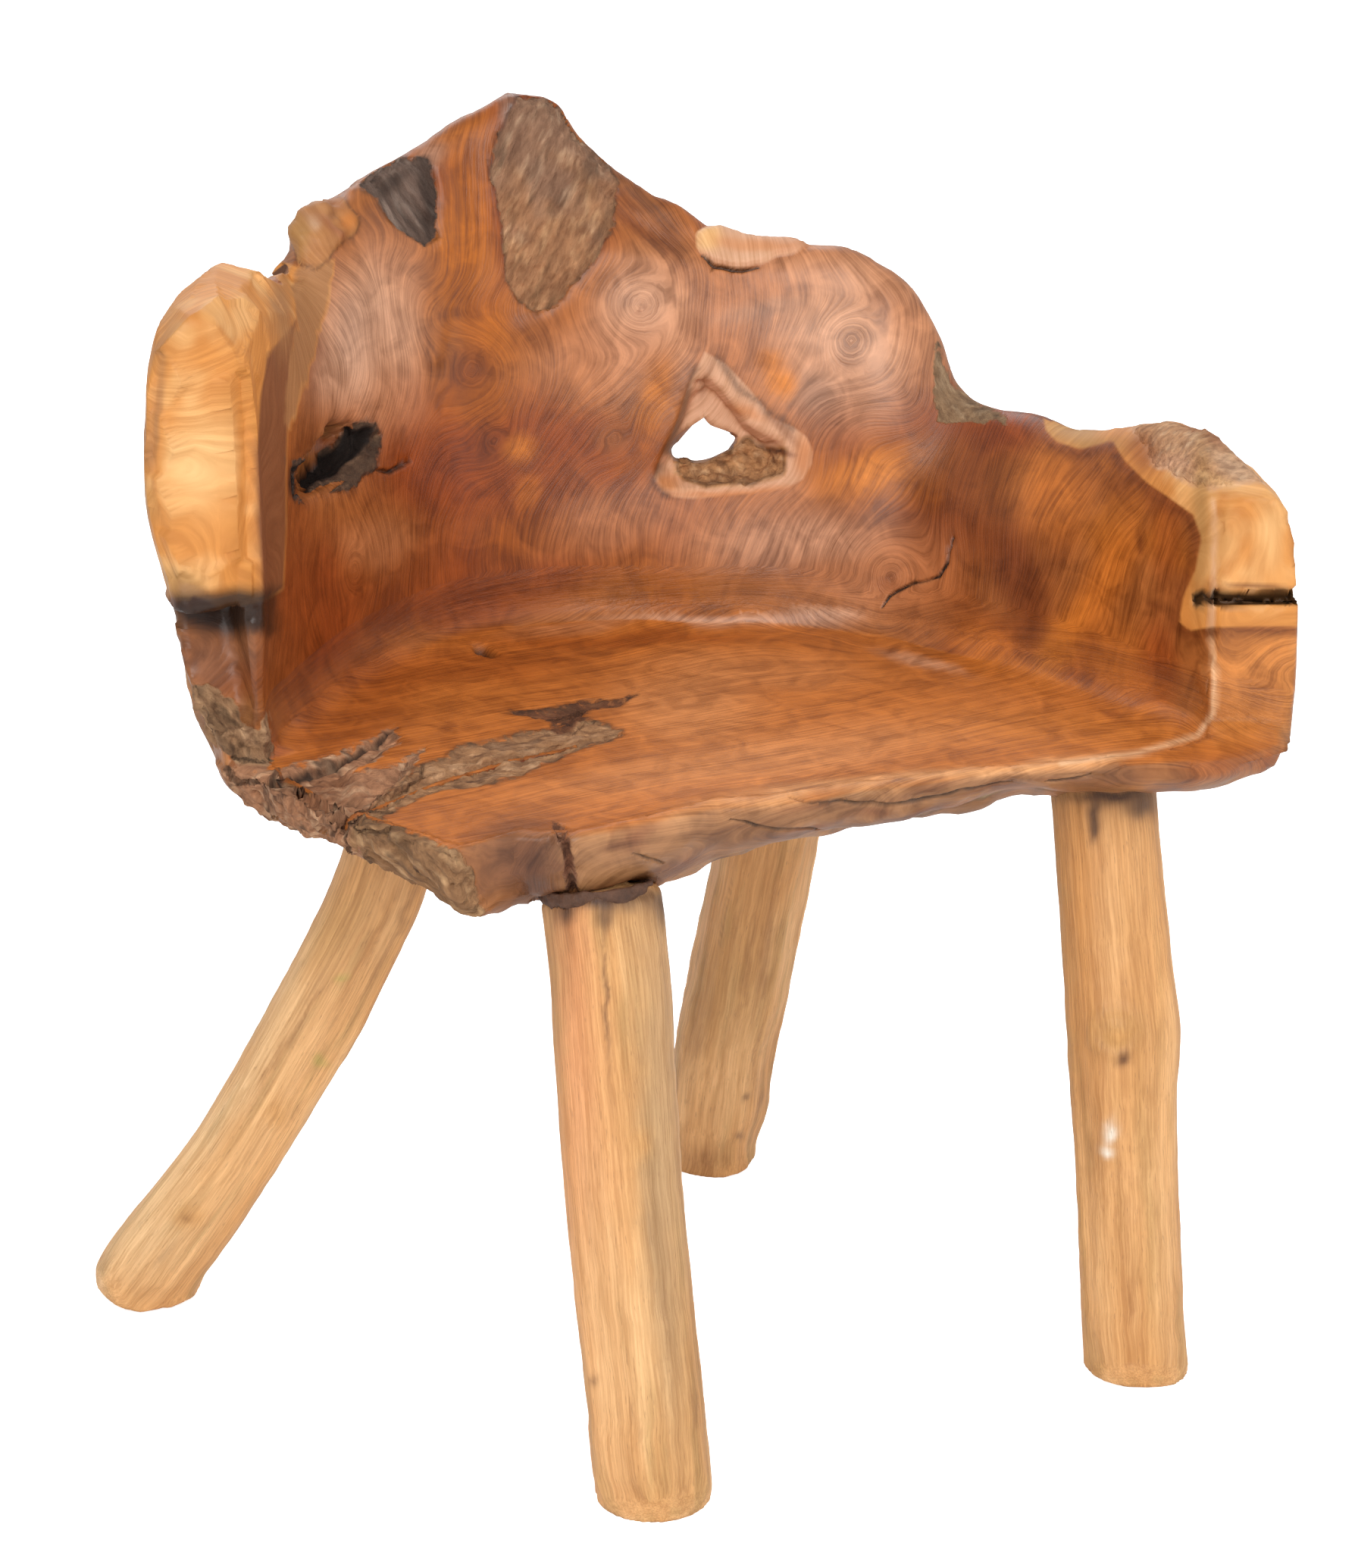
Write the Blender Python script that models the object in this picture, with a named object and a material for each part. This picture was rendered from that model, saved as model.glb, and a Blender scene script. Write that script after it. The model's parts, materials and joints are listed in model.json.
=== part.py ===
"""Root chair: one hollowed tree root is seat, back and arms, and stands on four pole legs.

Units are metres, +Z is up and the seat opens towards -Y. Each leg ends in a round tenon that is spread
by a hidden wedge inside a blind socket, and a ring of glue and sawdust fills the joint around it.
"""

import math

import bmesh
import bpy
from mathutils import Matrix, Vector
from mathutils.geometry import interpolate_bezier

# The root: seat, back and arms
SEAT_HEIGHT = 0.420
BACK_RISE = 0.365
SEAT_RADIUS = 0.300
WALL_THICKNESS = 0.085
SEAT_THICKNESS = 0.078
LEAN_DEPTH = 0.075
CREASE_FILLET = 0.022
ARRIS_RISE = 0.004
ARRIS_ROUND = 0.010

# Holes, hollows and cracks in the root
WINDOW_WIDTH = 0.050
FUNNEL_WIDTH = 0.110
FUNNEL_DEPTH = 0.016
HOLLOW_LENGTH = 0.136
HOLLOW_DEPTH = 0.032
BARK_HEIGHT = 0.165
BARK_DEPTH = 0.005
CHAR_WIDTH = 0.056
CHAR_DEPTH = 0.010
SLOT_HEIGHT = 0.0075
SLOT_DEPTH = 0.018
SLOT_RISE = 0.088
UNDERCUT_RISE = 0.108
UNDERCUT_HEIGHT = 0.086
UNDERCUT_DEPTH = 0.032
VALLEY_WIDTH = 0.030
VALLEY_DEPTH = 0.014
CRACK_WIDTH = 0.009
CRACK_DEPTH = 0.005
NOTCH_WIDTH = 0.016
NOTCH_DEPTH = 0.026

# Legs and their joints
LEG_RADIUS = 0.034
FOOT_CHAMFER = 0.005
TENON_RADIUS = 0.019
TENON_LENGTH = 0.046
SOCKET_DEPTH = 0.008
FILLER_WIDTH = 0.0035
FILLER_LIP = 0.007
WEDGE_HEAD = 0.0050
WEDGE_TIP = 0.0016
KNOT_SWELL = 0.004

FIT_CLEARANCE = 0.0003
CUT_OVERRUN = 0.060
ROUND_SIDES = 20

# Where the arms end, in degrees round the seat's centre from +X
RIGHT_ARM_END = -31.0
LEFT_ARM_END = 174.0

# Round the rim, as seen from above: angle in degrees, then shares of SEAT_RADIUS, BACK_RISE, LEAN_DEPTH,
# WALL_THICKNESS at the rim, WALL_THICKNESS at the seat, and SEAT_THICKNESS under the edge.
STATION_SHARES = (
    (-35.0, 1.13, 0.00, 0.00, 0.54, 0.62, 0.46),
    (-33.0, 1.13, 0.03, 0.00, 0.57, 0.62, 0.46),
    (RIGHT_ARM_END, 1.12, 0.43, 0.10, 0.62, 0.64, 0.48),
    (-22.0, 0.97, 0.48, 0.25, 0.74, 0.80, 0.62),
    (-11.0, 0.86, 0.46, 0.50, 0.80, 0.90, 0.75),
    (6.0, 0.74, 0.40, 0.60, 0.72, 0.95, 0.90),
    (17.0, 0.70, 0.40, 0.66, 0.62, 0.92, 0.95),
    (24.0, 0.69, 0.42, 0.72, 0.56, 0.90, 1.00),
    (29.0, 0.68, 0.52, 0.80, 0.50, 0.90, 1.00),
    (34.0, 0.67, 0.62, 0.85, 0.50, 0.90, 1.00),
    (44.0, 0.65, 0.66, 0.90, 0.50, 0.90, 1.00),
    (60.0, 0.62, 0.69, 0.96, 0.50, 0.90, 1.00),
    (69.0, 0.62, 0.75, 1.00, 0.46, 0.90, 1.00),
    (82.0, 0.66, 0.90, 1.00, 0.42, 0.90, 1.00),
    (90.0, 0.69, 0.955, 1.00, 0.42, 0.90, 1.00),
    (96.0, 0.71, 0.91, 1.00, 0.42, 0.90, 1.00),
    (106.0, 0.74, 0.845, 0.90, 0.46, 0.90, 1.00),
    (117.0, 0.75, 0.81, 0.80, 0.52, 0.88, 1.00),
    (122.0, 0.75, 0.81, 0.72, 0.58, 0.86, 1.00),
    (125.0, 0.75, 0.79, 0.68, 0.60, 0.85, 1.00),
    (128.0, 0.75, 0.71, 0.64, 0.62, 0.84, 1.00),
    (136.0, 0.77, 0.73, 0.45, 0.76, 0.80, 0.92),
    (150.0, 0.81, 0.81, 0.20, 0.94, 0.76, 0.72),
    (163.0, 0.88, 0.83, 0.06, 0.92, 0.62, 0.62),
    (170.0, 0.94, 0.82, 0.02, 0.90, 0.50, 0.60),
    (LEFT_ARM_END, 0.96, 0.80, 0.02, 0.86, 0.44, 0.60),
    (176.5, 0.98, 0.02, 0.00, 0.30, 0.36, 0.60),
    (180.0, 0.98, 0.00, 0.00, 0.12, 0.18, 0.60),
    (190.0, 0.97, 0.00, 0.00, 0.12, 0.14, 0.60),
    (200.0, 0.97, 0.00, 0.00, 0.12, 0.14, 0.64),
    (211.0, 0.98, 0.00, 0.00, 0.12, 0.16, 0.74),
    (217.0, 1.00, 0.00, 0.00, 0.12, 0.16, 0.80),
    (221.0, 0.86, 0.00, 0.00, 0.12, 0.16, 0.82),
    (229.0, 0.83, 0.00, 0.00, 0.12, 0.16, 0.82),
    (240.0, 0.70, 0.00, 0.00, 0.12, 0.16, 0.78),
    (250.0, 0.61, 0.00, 0.00, 0.12, 0.18, 0.62),
    (278.0, 0.61, 0.00, 0.00, 0.12, 0.18, 0.46),
    (300.0, 0.72, 0.00, 0.00, 0.12, 0.18, 0.42),
    (309.0, 0.87, 0.00, 0.00, 0.14, 0.20, 0.40),
    (316.0, 1.00, 0.00, 0.00, 0.22, 0.30, 0.42),
    (322.0, 1.10, 0.00, 0.00, 0.40, 0.48, 0.44),
    (325.0, 1.13, 0.00, 0.00, 0.54, 0.62, 0.46),
)
RING_STEP = 4.0
FILLET_SHARE = 0.4
FILLET_FOOT_SHARE = 0.3
CAP_SHARE = 0.8
LEAN_POWER = 1.3
BELLY_POWER = 0.8
SEAT_RING_SHARES = (0.24, 0.46, 0.66, 0.82, 0.93)
WALL_STEP_SHARES = (0.0, 0.16, 0.34, 0.52, 0.70, 0.88)
RIM_TURNS = (30.0, 65.0, 100.0, 135.0, 165.0)
OUTER_STEP_SHARES = (0.90, 0.72, 0.54, 0.36, 0.18, 0.0)
BELLY_TURNS = (20.0, 42.0, 62.0, 80.0)
UNDER_RING_SHARES = (0.62, 0.42, 0.20)

# Outlines on the inner wall, across and up from their centre, as shares of the width or height named.
WINDOW_SHARES = (
    (-0.50, -0.28), (-0.40, 0.06), (-0.17, 0.26), (0.04, 0.40), (0.17, 0.26),
    (0.50, 0.13), (0.44, -0.09), (0.02, -0.31), (-0.21, -0.28),
)
FUNNEL_SHARES = (
    (-0.36, -0.22), (-0.29, -0.34), (-0.12, -0.36), (0.31, -0.31), (0.55, -0.25), (0.64, -0.13),
    (0.63, 0.03), (0.40, 0.16), (0.25, 0.37), (0.10, 0.52), (-0.03, 0.60), (-0.12, 0.39), (-0.20, 0.12),
)
HOLLOW_SHARES = (
    (-0.51, 0.12), (-0.24, 0.10), (0.14, 0.16), (0.47, 0.07), (0.49, 0.00),
    (0.41, -0.11), (0.23, -0.16), (-0.47, -0.06),
)
BARK_SHARES = (
    (-0.10, 0.48), (-0.24, 0.22), (-0.26, 0.13), (-0.21, -0.18), (-0.15, -0.45), (-0.07, -0.49),
    (0.01, -0.45), (0.16, -0.27), (0.23, -0.16), (0.27, 0.10), (0.16, 0.21), (0.04, 0.41), (-0.03, 0.47),
)
CHAR_SHARES = (
    (-0.50, 0.22), (-0.20, 0.46), (0.32, 0.46), (0.39, 0.15), (0.44, -0.46),
    (0.31, -0.55), (0.00, -0.31), (-0.32, -0.04),
)

# Where each outline sits: angle round the seat and the way it faces, in degrees, rise above the seat as
# a share of BACK_RISE, and the tilt of the cut in degrees.
WINDOW_AT_SHARE = (63.0, 63.0, 0.325, 14.0)
HOLLOW_AT_SHARE = (140.8, 136.0, 0.410, 0.0)
BARK_AT_SHARE = (87.0, 83.0, 0.770, 15.0)
CHAR_AT_SHARE = (108.5, 106.0, 0.800, 20.0)

# How far each cut narrows towards its far end
FUNNEL_TAPER_SHARE = 0.62
HOLLOW_TAPER_SHARE = 0.80
BARK_TAPER_SHARE = 0.97
CHAR_TAPER_SHARE = 0.60

# Cracks in the seat, in plan as shares of SEAT_RADIUS, each with its width as a share.
VALLEY_SHARES = (
    (-1.06, -0.36, 1.0), (-0.70, -0.18, 1.0), (-0.50, -0.12, 0.9), (-0.33, -0.10, 0.7), (-0.18, -0.09, 0.1),
)
CRACK_SHARES = ((-0.34, 0.13, 0.3), (-0.22, 0.15, 1.0), (-0.08, 0.12, 0.2))
NOTCH_TIP_SHARE = (-0.60, -0.61)
NOTCH_HEADING = 226.0
SLOT_HEADING = -43.0

# Each leg: foot and socket in plan as shares of SEAT_RADIUS, socket depth under the seat as a share of
# SEAT_THICKNESS, tenon as a share of TENON_LENGTH, sideways bow, knots as the place along the pole, the
# turn round it in degrees and the size, and the girth from foot to shoulder as shares of LEG_RADIUS.
LEGS = {
    "front_left": {
        "foot_share": (-0.51, -0.91),
        "socket_share": (-0.475, -0.54),
        "depth_share": 0.72,
        "tenon_share": 0.76,
        "bow_share": (0.00, 0.00),
        "girth_shares": (1.03, 1.04, 1.04, 1.03, 1.04, 1.06, 1.08),
        "knot_shares": ((0.62, 0.0, 0.35),),
    },
    "front_right": {
        "foot_share": (0.71, -0.80),
        "socket_share": (0.79, -0.44),
        "depth_share": 0.56,
        "tenon_share": 0.54,
        "bow_share": (0.01, 0.00),
        "girth_shares": (0.92, 0.93, 0.94, 0.98, 0.98, 0.98, 0.99),
        "knot_shares": ((0.58, 20.0, 1.0), (0.58, -70.0, 0.7)),
    },
    "rear_right": {
        "foot_share": (0.37, 0.64),
        "socket_share": (0.35, 0.25),
        "depth_share": 0.98,
        "tenon_share": 1.00,
        "bow_share": (-0.02, 0.00),
        "girth_shares": (1.02, 1.06, 1.02, 1.02, 1.04, 1.04, 1.03),
        "knot_shares": ((0.16, 30.0, 1.0),),
    },
    "rear_left": {
        "foot_share": (-1.15, 0.48),
        "socket_share": (-0.64, 0.18),
        "depth_share": 0.95,
        "tenon_share": 1.00,
        "bow_share": (0.05, -0.03),
        "girth_shares": (0.90, 0.90, 0.89, 0.89, 0.88, 0.88, 0.88),
        "knot_shares": ((0.66, -40.0, 0.6),),
    },
}
LEG_SAMPLES = 40
LEG_RING_SHARES = (0.075, 0.15, 0.25, 0.35, 0.45, 0.525, 0.575, 0.625, 0.7, 0.8, 0.9)
KNOT_REACH_SHARE = 0.09
KNOT_SPREAD = 55.0
WEDGE_LENGTH_SHARE = 0.75
WEDGE_WIDTH_SHARE = 0.86

HEARTWOOD = ((0.34, 0.11, 0.03), 0.38)
SAPWOOD = ((0.62, 0.33, 0.12), 0.62)
WEDGE_WOOD = ((0.55, 0.30, 0.14), 0.70)
FILLER_PASTE = ((0.09, 0.04, 0.02), 0.85)


def clear_scene():
    for old in list(bpy.data.objects):
        bpy.data.objects.remove(old)


def paint(name, look):
    colour, roughness = look
    material = bpy.data.materials.new(name)
    material.use_nodes = True
    shader = material.node_tree.nodes["Principled BSDF"]
    shader.inputs["Base Color"].default_value = (*colour, 1.0)
    shader.inputs["Roughness"].default_value = roughness
    shader.inputs["Metallic"].default_value = 0.0
    return material


def add_object(name, bm, material=None):
    bmesh.ops.recalc_face_normals(bm, faces=bm.faces)
    mesh = bpy.data.meshes.new(name)
    bm.to_mesh(mesh)
    bm.free()
    mesh.shade_smooth()
    mesh.set_sharp_from_angle(angle=math.radians(40.0))
    made = bpy.data.objects.new(name, mesh)
    bpy.context.scene.collection.objects.link(made)
    if material:
        mesh.materials.append(material)
    return made


def loft(rings, first=None, last=None):
    """A skin over rings of points. Each end is closed by one face, or by a fan to the point given."""
    bm = bmesh.new()
    rows = [[bm.verts.new(p) for p in ring] for ring in rings]
    count = len(rows[0])
    for lower, upper in zip(rows, rows[1:]):
        for i in range(count):
            j = (i + 1) % count
            bm.faces.new((lower[i], lower[j], upper[j], upper[i]))
    for row, tip in ((rows[0], first), (rows[-1], last)):
        if tip is None:
            bm.faces.new(row)
            continue
        peak = bm.verts.new(tip)
        for i in range(count):
            bm.faces.new((row[i], row[(i + 1) % count], peak))
    return bm


def cut(target, tool, solver="EXACT"):
    tool.hide_render = True
    tool.display_type = "WIRE"
    boolean = target.modifiers.new(tool.name, "BOOLEAN")
    boolean.operation = "DIFFERENCE"
    boolean.solver = solver
    boolean.object = tool


def eased(table, place):
    """The shares at one place in a table, eased between the two rows beside it."""
    for low, high in zip(table, table[1:]):
        if low[0] <= place <= high[0]:
            t = (place - low[0]) / (high[0] - low[0])
            return [a + (b - a) * t for a, b in zip(low[1:], high[1:])]
    return list(table[-1][1:])


def ring_angles():
    """Even steps round the rim between the stations."""
    angles = []
    for low, high in zip(STATION_SHARES, STATION_SHARES[1:]):
        steps = max(1, round((high[0] - low[0]) / RING_STEP))
        angles += [low[0] + (high[0] - low[0]) * i / steps for i in range(steps)]
    return angles


def inner_radius(angle, height):
    """How far the inner wall stands from the seat's centre at a height above the seat."""
    reach_share, rise_share, lean_share = eased(STATION_SHARES, angle)[:3]
    rise = max(BACK_RISE * rise_share, ARRIS_RISE)
    return SEAT_RADIUS * reach_share + LEAN_DEPTH * lean_share * (height / rise) ** LEAN_POWER


def profile(angle):
    """(radius, height) from beside the seat's centre out to the rim, over it, and back underneath."""
    reach_share, rise_share, lean_share, rim_share, base_share, under_share = eased(STATION_SHARES, angle)
    reach = SEAT_RADIUS * reach_share
    rise = max(BACK_RISE * rise_share, ARRIS_RISE)
    lean = LEAN_DEPTH * lean_share
    rim = max(WALL_THICKNESS * rim_share, ARRIS_ROUND)
    base = WALL_THICKNESS * base_share
    under = SEAT_THICKNESS * under_share
    fillet = min(CREASE_FILLET, rise * FILLET_SHARE)
    cap = min(rim * CAP_SHARE, rise * FILLET_SHARE)
    climb = rise - fillet - cap
    points = [(reach * share, SEAT_HEIGHT) for share in SEAT_RING_SHARES]
    foot = fillet * FILLET_FOOT_SHARE
    points.append((reach - foot, SEAT_HEIGHT + foot))
    for share in WALL_STEP_SHARES:
        height = fillet + climb * share
        points.append((inner_radius(angle, height), SEAT_HEIGHT + height))
    shoulder = SEAT_HEIGHT + rise - cap
    for turn in RIM_TURNS:
        over = 0.5 - 0.5 * math.cos(math.radians(turn))
        lift = math.sin(math.radians(turn))
        points.append((reach + lean + rim * over, shoulder + cap * lift))
    for share in OUTER_STEP_SHARES:
        inner = reach + lean * share**LEAN_POWER
        points.append((inner + base + (rim - base) * share, SEAT_HEIGHT + (rise - cap) * share))
    edge = reach + base
    flat = edge * UNDER_RING_SHARES[0]
    for turn in BELLY_TURNS:
        out = math.cos(math.radians(turn)) ** BELLY_POWER
        drop = math.sin(math.radians(turn))
        points.append((flat + (edge - flat) * out, SEAT_HEIGHT - under * drop))
    for share in UNDER_RING_SHARES:
        depth = under + (SEAT_THICKNESS - under) * (1.0 - share)
        points.append((edge * share, SEAT_HEIGHT - depth))
    return points


def root_blank():
    """The hollowed root before any hole or crack is cut: profiles turned round the seat's centre."""
    columns = [(math.radians(a), profile(a)) for a in ring_angles()]
    rings = []
    for row in range(len(columns[0][1])):
        ring = []
        for angle, points in columns:
            radius, height = points[row]
            ring.append((radius * math.cos(angle), radius * math.sin(angle), height))
        rings.append(ring)
    top = (0, 0, SEAT_HEIGHT)
    bottom = (0, 0, SEAT_HEIGHT - SEAT_THICKNESS)
    return loft(rings, top, bottom)


def wall_cutter(name, outline, width, place, narrowing, near, far):
    """A prism through the inner wall from near to far of its face, narrowed at its far end."""
    angle, facing, rise_share, tilt = place
    height = BACK_RISE * rise_share
    radius = inner_radius(angle, height)
    turn = math.radians(angle)
    centre = Vector((radius * math.cos(turn), radius * math.sin(turn), SEAT_HEIGHT + height))
    heading = math.radians(facing)
    slope = math.radians(tilt)
    level = Vector((math.cos(heading), math.sin(heading), 0))
    side = Vector((math.sin(heading), -math.cos(heading), 0))
    outward = level * math.cos(slope) - Vector((0, 0, math.sin(slope)))
    up = side.cross(outward)
    rings = []
    for depth, scale in ((near, 1.0), (far, narrowing)):
        size = width * scale
        rings.append([centre + side * (x * size) + up * (y * size) + outward * depth for x, y in outline])
    return add_object(name, loft(rings))


def groove_cutter(name, route, width, depth):
    """A V-shaped groove along a route in the seat, wide and deep in the shares given."""
    points = [Vector((SEAT_RADIUS * x, SEAT_RADIUS * y, SEAT_HEIGHT)) for x, y, _ in route]
    rings = []
    for i, (_, _, share) in enumerate(route):
        along = points[min(i + 1, len(route) - 1)] - points[max(i - 1, 0)]
        side = Vector((-along.y, along.x, 0)).normalized() * (width * share / 2)
        lift = Vector((0, 0, depth * share))
        rings.append([points[i] - side + lift, points[i] - lift, points[i] + side + lift])
    return add_object(name, loft(rings))


def bar_cutter(name, corner, along, inward, length, section):
    """A bar whose section, in depth and height, runs along a direction from a corner."""
    rings = []
    for reach in (0, length):
        start = corner + along * reach
        rings.append([start + inward * depth + Vector((0, 0, height)) for depth, height in section])
    return add_object(name, loft(rings))


def arm_slot():
    """The sawn slot across the right arm's end."""
    end = math.radians(RIGHT_ARM_END)
    radius = SEAT_RADIUS * eased(STATION_SHARES, RIGHT_ARM_END)[0]
    corner = Vector((radius * math.cos(end), radius * math.sin(end), SEAT_HEIGHT + SLOT_RISE))
    heading = math.radians(SLOT_HEADING)
    along = Vector((math.cos(heading), math.sin(heading), 0))
    inward = Vector((-along.y, along.x, 0))
    section = [(x, z) for z in (0, SLOT_HEIGHT) for x in (-CUT_OVERRUN, SLOT_DEPTH)]
    section = (section[0], section[1], section[3], section[2])
    length = WALL_THICKNESS + SLOT_DEPTH + CUT_OVERRUN
    return bar_cutter("slot_right_arm", corner - along * SLOT_DEPTH, along, inward, length, section)


def arm_undercut():
    """The ledge under the left arm's end block, where the wood below it steps back."""
    outer = SEAT_RADIUS + WALL_THICKNESS + CUT_OVERRUN
    top = UNDERCUT_RISE
    low = top - UNDERCUT_HEIGHT
    face = SEAT_RADIUS * math.sin(math.radians(LEFT_ARM_END))
    section = ((-CUT_OVERRUN, low), (face, low), (face + UNDERCUT_DEPTH, top), (-CUT_OVERRUN, top))
    corner = Vector((-outer, 0, SEAT_HEIGHT))
    along = Vector((1, 0, 0))
    return bar_cutter("undercut_left_arm", corner, along, Vector((0, 1, 0)), outer - SEAT_RADIUS, section)


def front_notch():
    """The split that runs down the front edge beside the left front leg."""
    heading = math.radians(NOTCH_HEADING)
    out = Vector((math.cos(heading), math.sin(heading), 0))
    side = Vector((-out.y, out.x, 0)) * (NOTCH_WIDTH / 2)
    tip = Vector((*[SEAT_RADIUS * share for share in NOTCH_TIP_SHARE], 0))
    spread = 1.0 + CUT_OVERRUN / NOTCH_DEPTH
    wide = tip + out * (NOTCH_DEPTH * spread)
    rings = []
    for height in (SEAT_HEIGHT - SEAT_THICKNESS - CUT_OVERRUN, SEAT_HEIGHT + CUT_OVERRUN):
        lift = Vector((0, 0, height))
        rings.append([tip + lift, wide + side * spread + lift, wide - side * spread + lift])
    return add_object("notch_front", loft(rings))


def cut_root(root):
    """The window through the back, the hollows and the cracks."""
    through = WALL_THICKNESS + CUT_OVERRUN
    # Each row: name, outline, size, place, taper, and how far before and behind the face the cut runs.
    wall_cuts = (
        (
            "funnel", FUNNEL_SHARES, FUNNEL_WIDTH, WINDOW_AT_SHARE,
            FUNNEL_TAPER_SHARE, FUNNEL_DEPTH, FUNNEL_DEPTH,
        ),
        (
            "window", WINDOW_SHARES, WINDOW_WIDTH, WINDOW_AT_SHARE,
            1.0, FUNNEL_DEPTH, through,
        ),
        (
            "hollow", HOLLOW_SHARES, HOLLOW_LENGTH, HOLLOW_AT_SHARE,
            HOLLOW_TAPER_SHARE, CUT_OVERRUN, HOLLOW_DEPTH,
        ),
        (
            "bark", BARK_SHARES, BARK_HEIGHT, BARK_AT_SHARE,
            BARK_TAPER_SHARE, CUT_OVERRUN, BARK_DEPTH,
        ),
        (
            "char", CHAR_SHARES, CHAR_WIDTH, CHAR_AT_SHARE,
            CHAR_TAPER_SHARE, CUT_OVERRUN, CHAR_DEPTH,
        ),
    )
    for name, outline, size, place, narrowing, before, depth in wall_cuts:
        cut(root, wall_cutter(name, outline, size, place, narrowing, -before, depth))
    cut(root, groove_cutter("valley", VALLEY_SHARES, VALLEY_WIDTH, VALLEY_DEPTH))
    cut(root, groove_cutter("crack", CRACK_SHARES, CRACK_WIDTH, CRACK_DEPTH))
    cut(root, arm_slot())
    cut(root, arm_undercut())
    cut(root, front_notch())


def square_to(axis):
    """The rotation that carries a level ring square to an axis."""
    return Vector((0, 0, 1)).rotation_difference(axis).to_matrix()


def circle(radius, centre, turn):
    """A ring of points round a centre, in the plane that the turn matrix gives."""
    return bumpy_circle([radius] * ROUND_SIDES, centre, turn)


def bumpy_circle(radii, centre, turn):
    ring = []
    for i, radius in enumerate(radii):
        angle = 2 * math.pi * i / len(radii)
        flat = Vector((radius * math.cos(angle), radius * math.sin(angle), 0))
        ring.append(centre + turn @ flat)
    return ring


def leg_curve(sizes):
    """Points along the pole's heart, from the foot to the socket."""
    foot = Vector((*[SEAT_RADIUS * s for s in sizes["foot_share"]], 0))
    depth = SEAT_THICKNESS * sizes["depth_share"]
    socket = Vector((*[SEAT_RADIUS * s for s in sizes["socket_share"]], SEAT_HEIGHT - depth))
    bow = Vector((*[SEAT_RADIUS * s for s in sizes["bow_share"]], 0))
    low = foot.lerp(socket, 1 / 3) + bow
    high = foot.lerp(socket, 2 / 3) + bow
    return interpolate_bezier(foot, low, high, socket, LEG_SAMPLES + 1)


def socket_frame(sizes):
    """The turned joint's centre at the root's underside, its axis and the turn to it."""
    line = leg_curve(sizes)
    axis = (line[-1] - line[-2]).normalized()
    return line[-1], axis, square_to(axis)


def girth_at(sizes, place, angle):
    """The pole's radius at a place along it and an angle round it, swollen where a branch was."""
    shares = sizes["girth_shares"]
    steps = [(i / (len(shares) - 1), share) for i, share in enumerate(shares)]
    radius = LEG_RADIUS * eased(steps, place)[0]
    for knot_place, knot_turn, size in sizes["knot_shares"]:
        along = (place - knot_place) / KNOT_REACH_SHARE
        round_it = (angle - knot_turn + 180.0) % 360.0 - 180.0
        radius += KNOT_SWELL * size * math.exp(-(along**2) - (round_it / KNOT_SPREAD) ** 2)
    return radius


def pole_ring(sizes, place, centre, turn, inset=0):
    step = 360.0 / ROUND_SIDES
    radii = [girth_at(sizes, place, i * step) - inset for i in range(ROUND_SIDES)]
    return bumpy_circle(radii, centre, turn)


def pole(name, sizes, material):
    """One leg: a debarked pole with a flat chamfered foot and a turned tenon."""
    line = leg_curve(sizes)
    flat = Matrix.Identity(3)
    rings = [
        pole_ring(sizes, 0, line[0], flat, FOOT_CHAMFER),
        pole_ring(sizes, 0, line[0] + Vector((0, 0, FOOT_CHAMFER)), flat),
    ]
    for share in LEG_RING_SHARES:
        at = round(share * LEG_SAMPLES)
        axis = (line[at + 1] - line[at - 1]).normalized()
        rings.append(pole_ring(sizes, share, line[at], square_to(axis)))
    centre, axis, turn = socket_frame(sizes)
    shoulder = LEG_RADIUS * sizes["girth_shares"][-1]
    seat = centre + axis * (SOCKET_DEPTH - FIT_CLEARANCE)
    end = seat + axis * (TENON_LENGTH * sizes["tenon_share"] - FIT_CLEARANCE)
    rings.append(circle(shoulder, centre - axis * FILLER_LIP, turn))
    rings.append(circle(shoulder, seat, turn))
    rings.append(circle(TENON_RADIUS, seat, turn))
    rings.append(circle(TENON_RADIUS, end, turn))
    return add_object(name, loft(rings), material)


def wedge_solid(name, sizes, growth, half_width, material=None):
    """A wedge along the tenon's axis, its wide end at the tenon's end."""
    centre, axis, turn = socket_frame(sizes)
    tenon = TENON_LENGTH * sizes["tenon_share"]
    end = centre + axis * (SOCKET_DEPTH + tenon - 2 * FIT_CLEARANCE)
    tip = -tenon * WEDGE_LENGTH_SHARE
    rings = []
    for along, thick in ((tip - growth, WEDGE_TIP), (growth, WEDGE_HEAD)):
        half = thick / 2 + growth
        corners = ((-half, -half_width), (half, -half_width), (half, half_width), (-half, half_width))
        rings.append([end + axis * along + turn @ Vector((x, y, 0)) for x, y in corners])
    return add_object(name, loft(rings), material)


def filler_ring(name, sizes, material):
    """Glue and sawdust packed between the leg and the rim of its socket."""
    centre, axis, turn = socket_frame(sizes)
    inner = LEG_RADIUS * sizes["girth_shares"][-1] + FIT_CLEARANCE
    outer = inner + FILLER_WIDTH
    low = centre - axis * FILLER_LIP
    high = centre + axis * (SOCKET_DEPTH - FIT_CLEARANCE)
    bm = bmesh.new()
    loops = []
    for radius, place in ((inner, low), (outer, centre), (outer, high), (inner, high)):
        loops.append([bm.verts.new(p) for p in circle(radius, place, turn)])
    for near, far in zip(loops, loops[1:] + loops[:1]):
        for i in range(ROUND_SIDES):
            j = (i + 1) % ROUND_SIDES
            bm.faces.new((near[i], near[j], far[j], far[i]))
    return add_object(name, bm, material)


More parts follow.
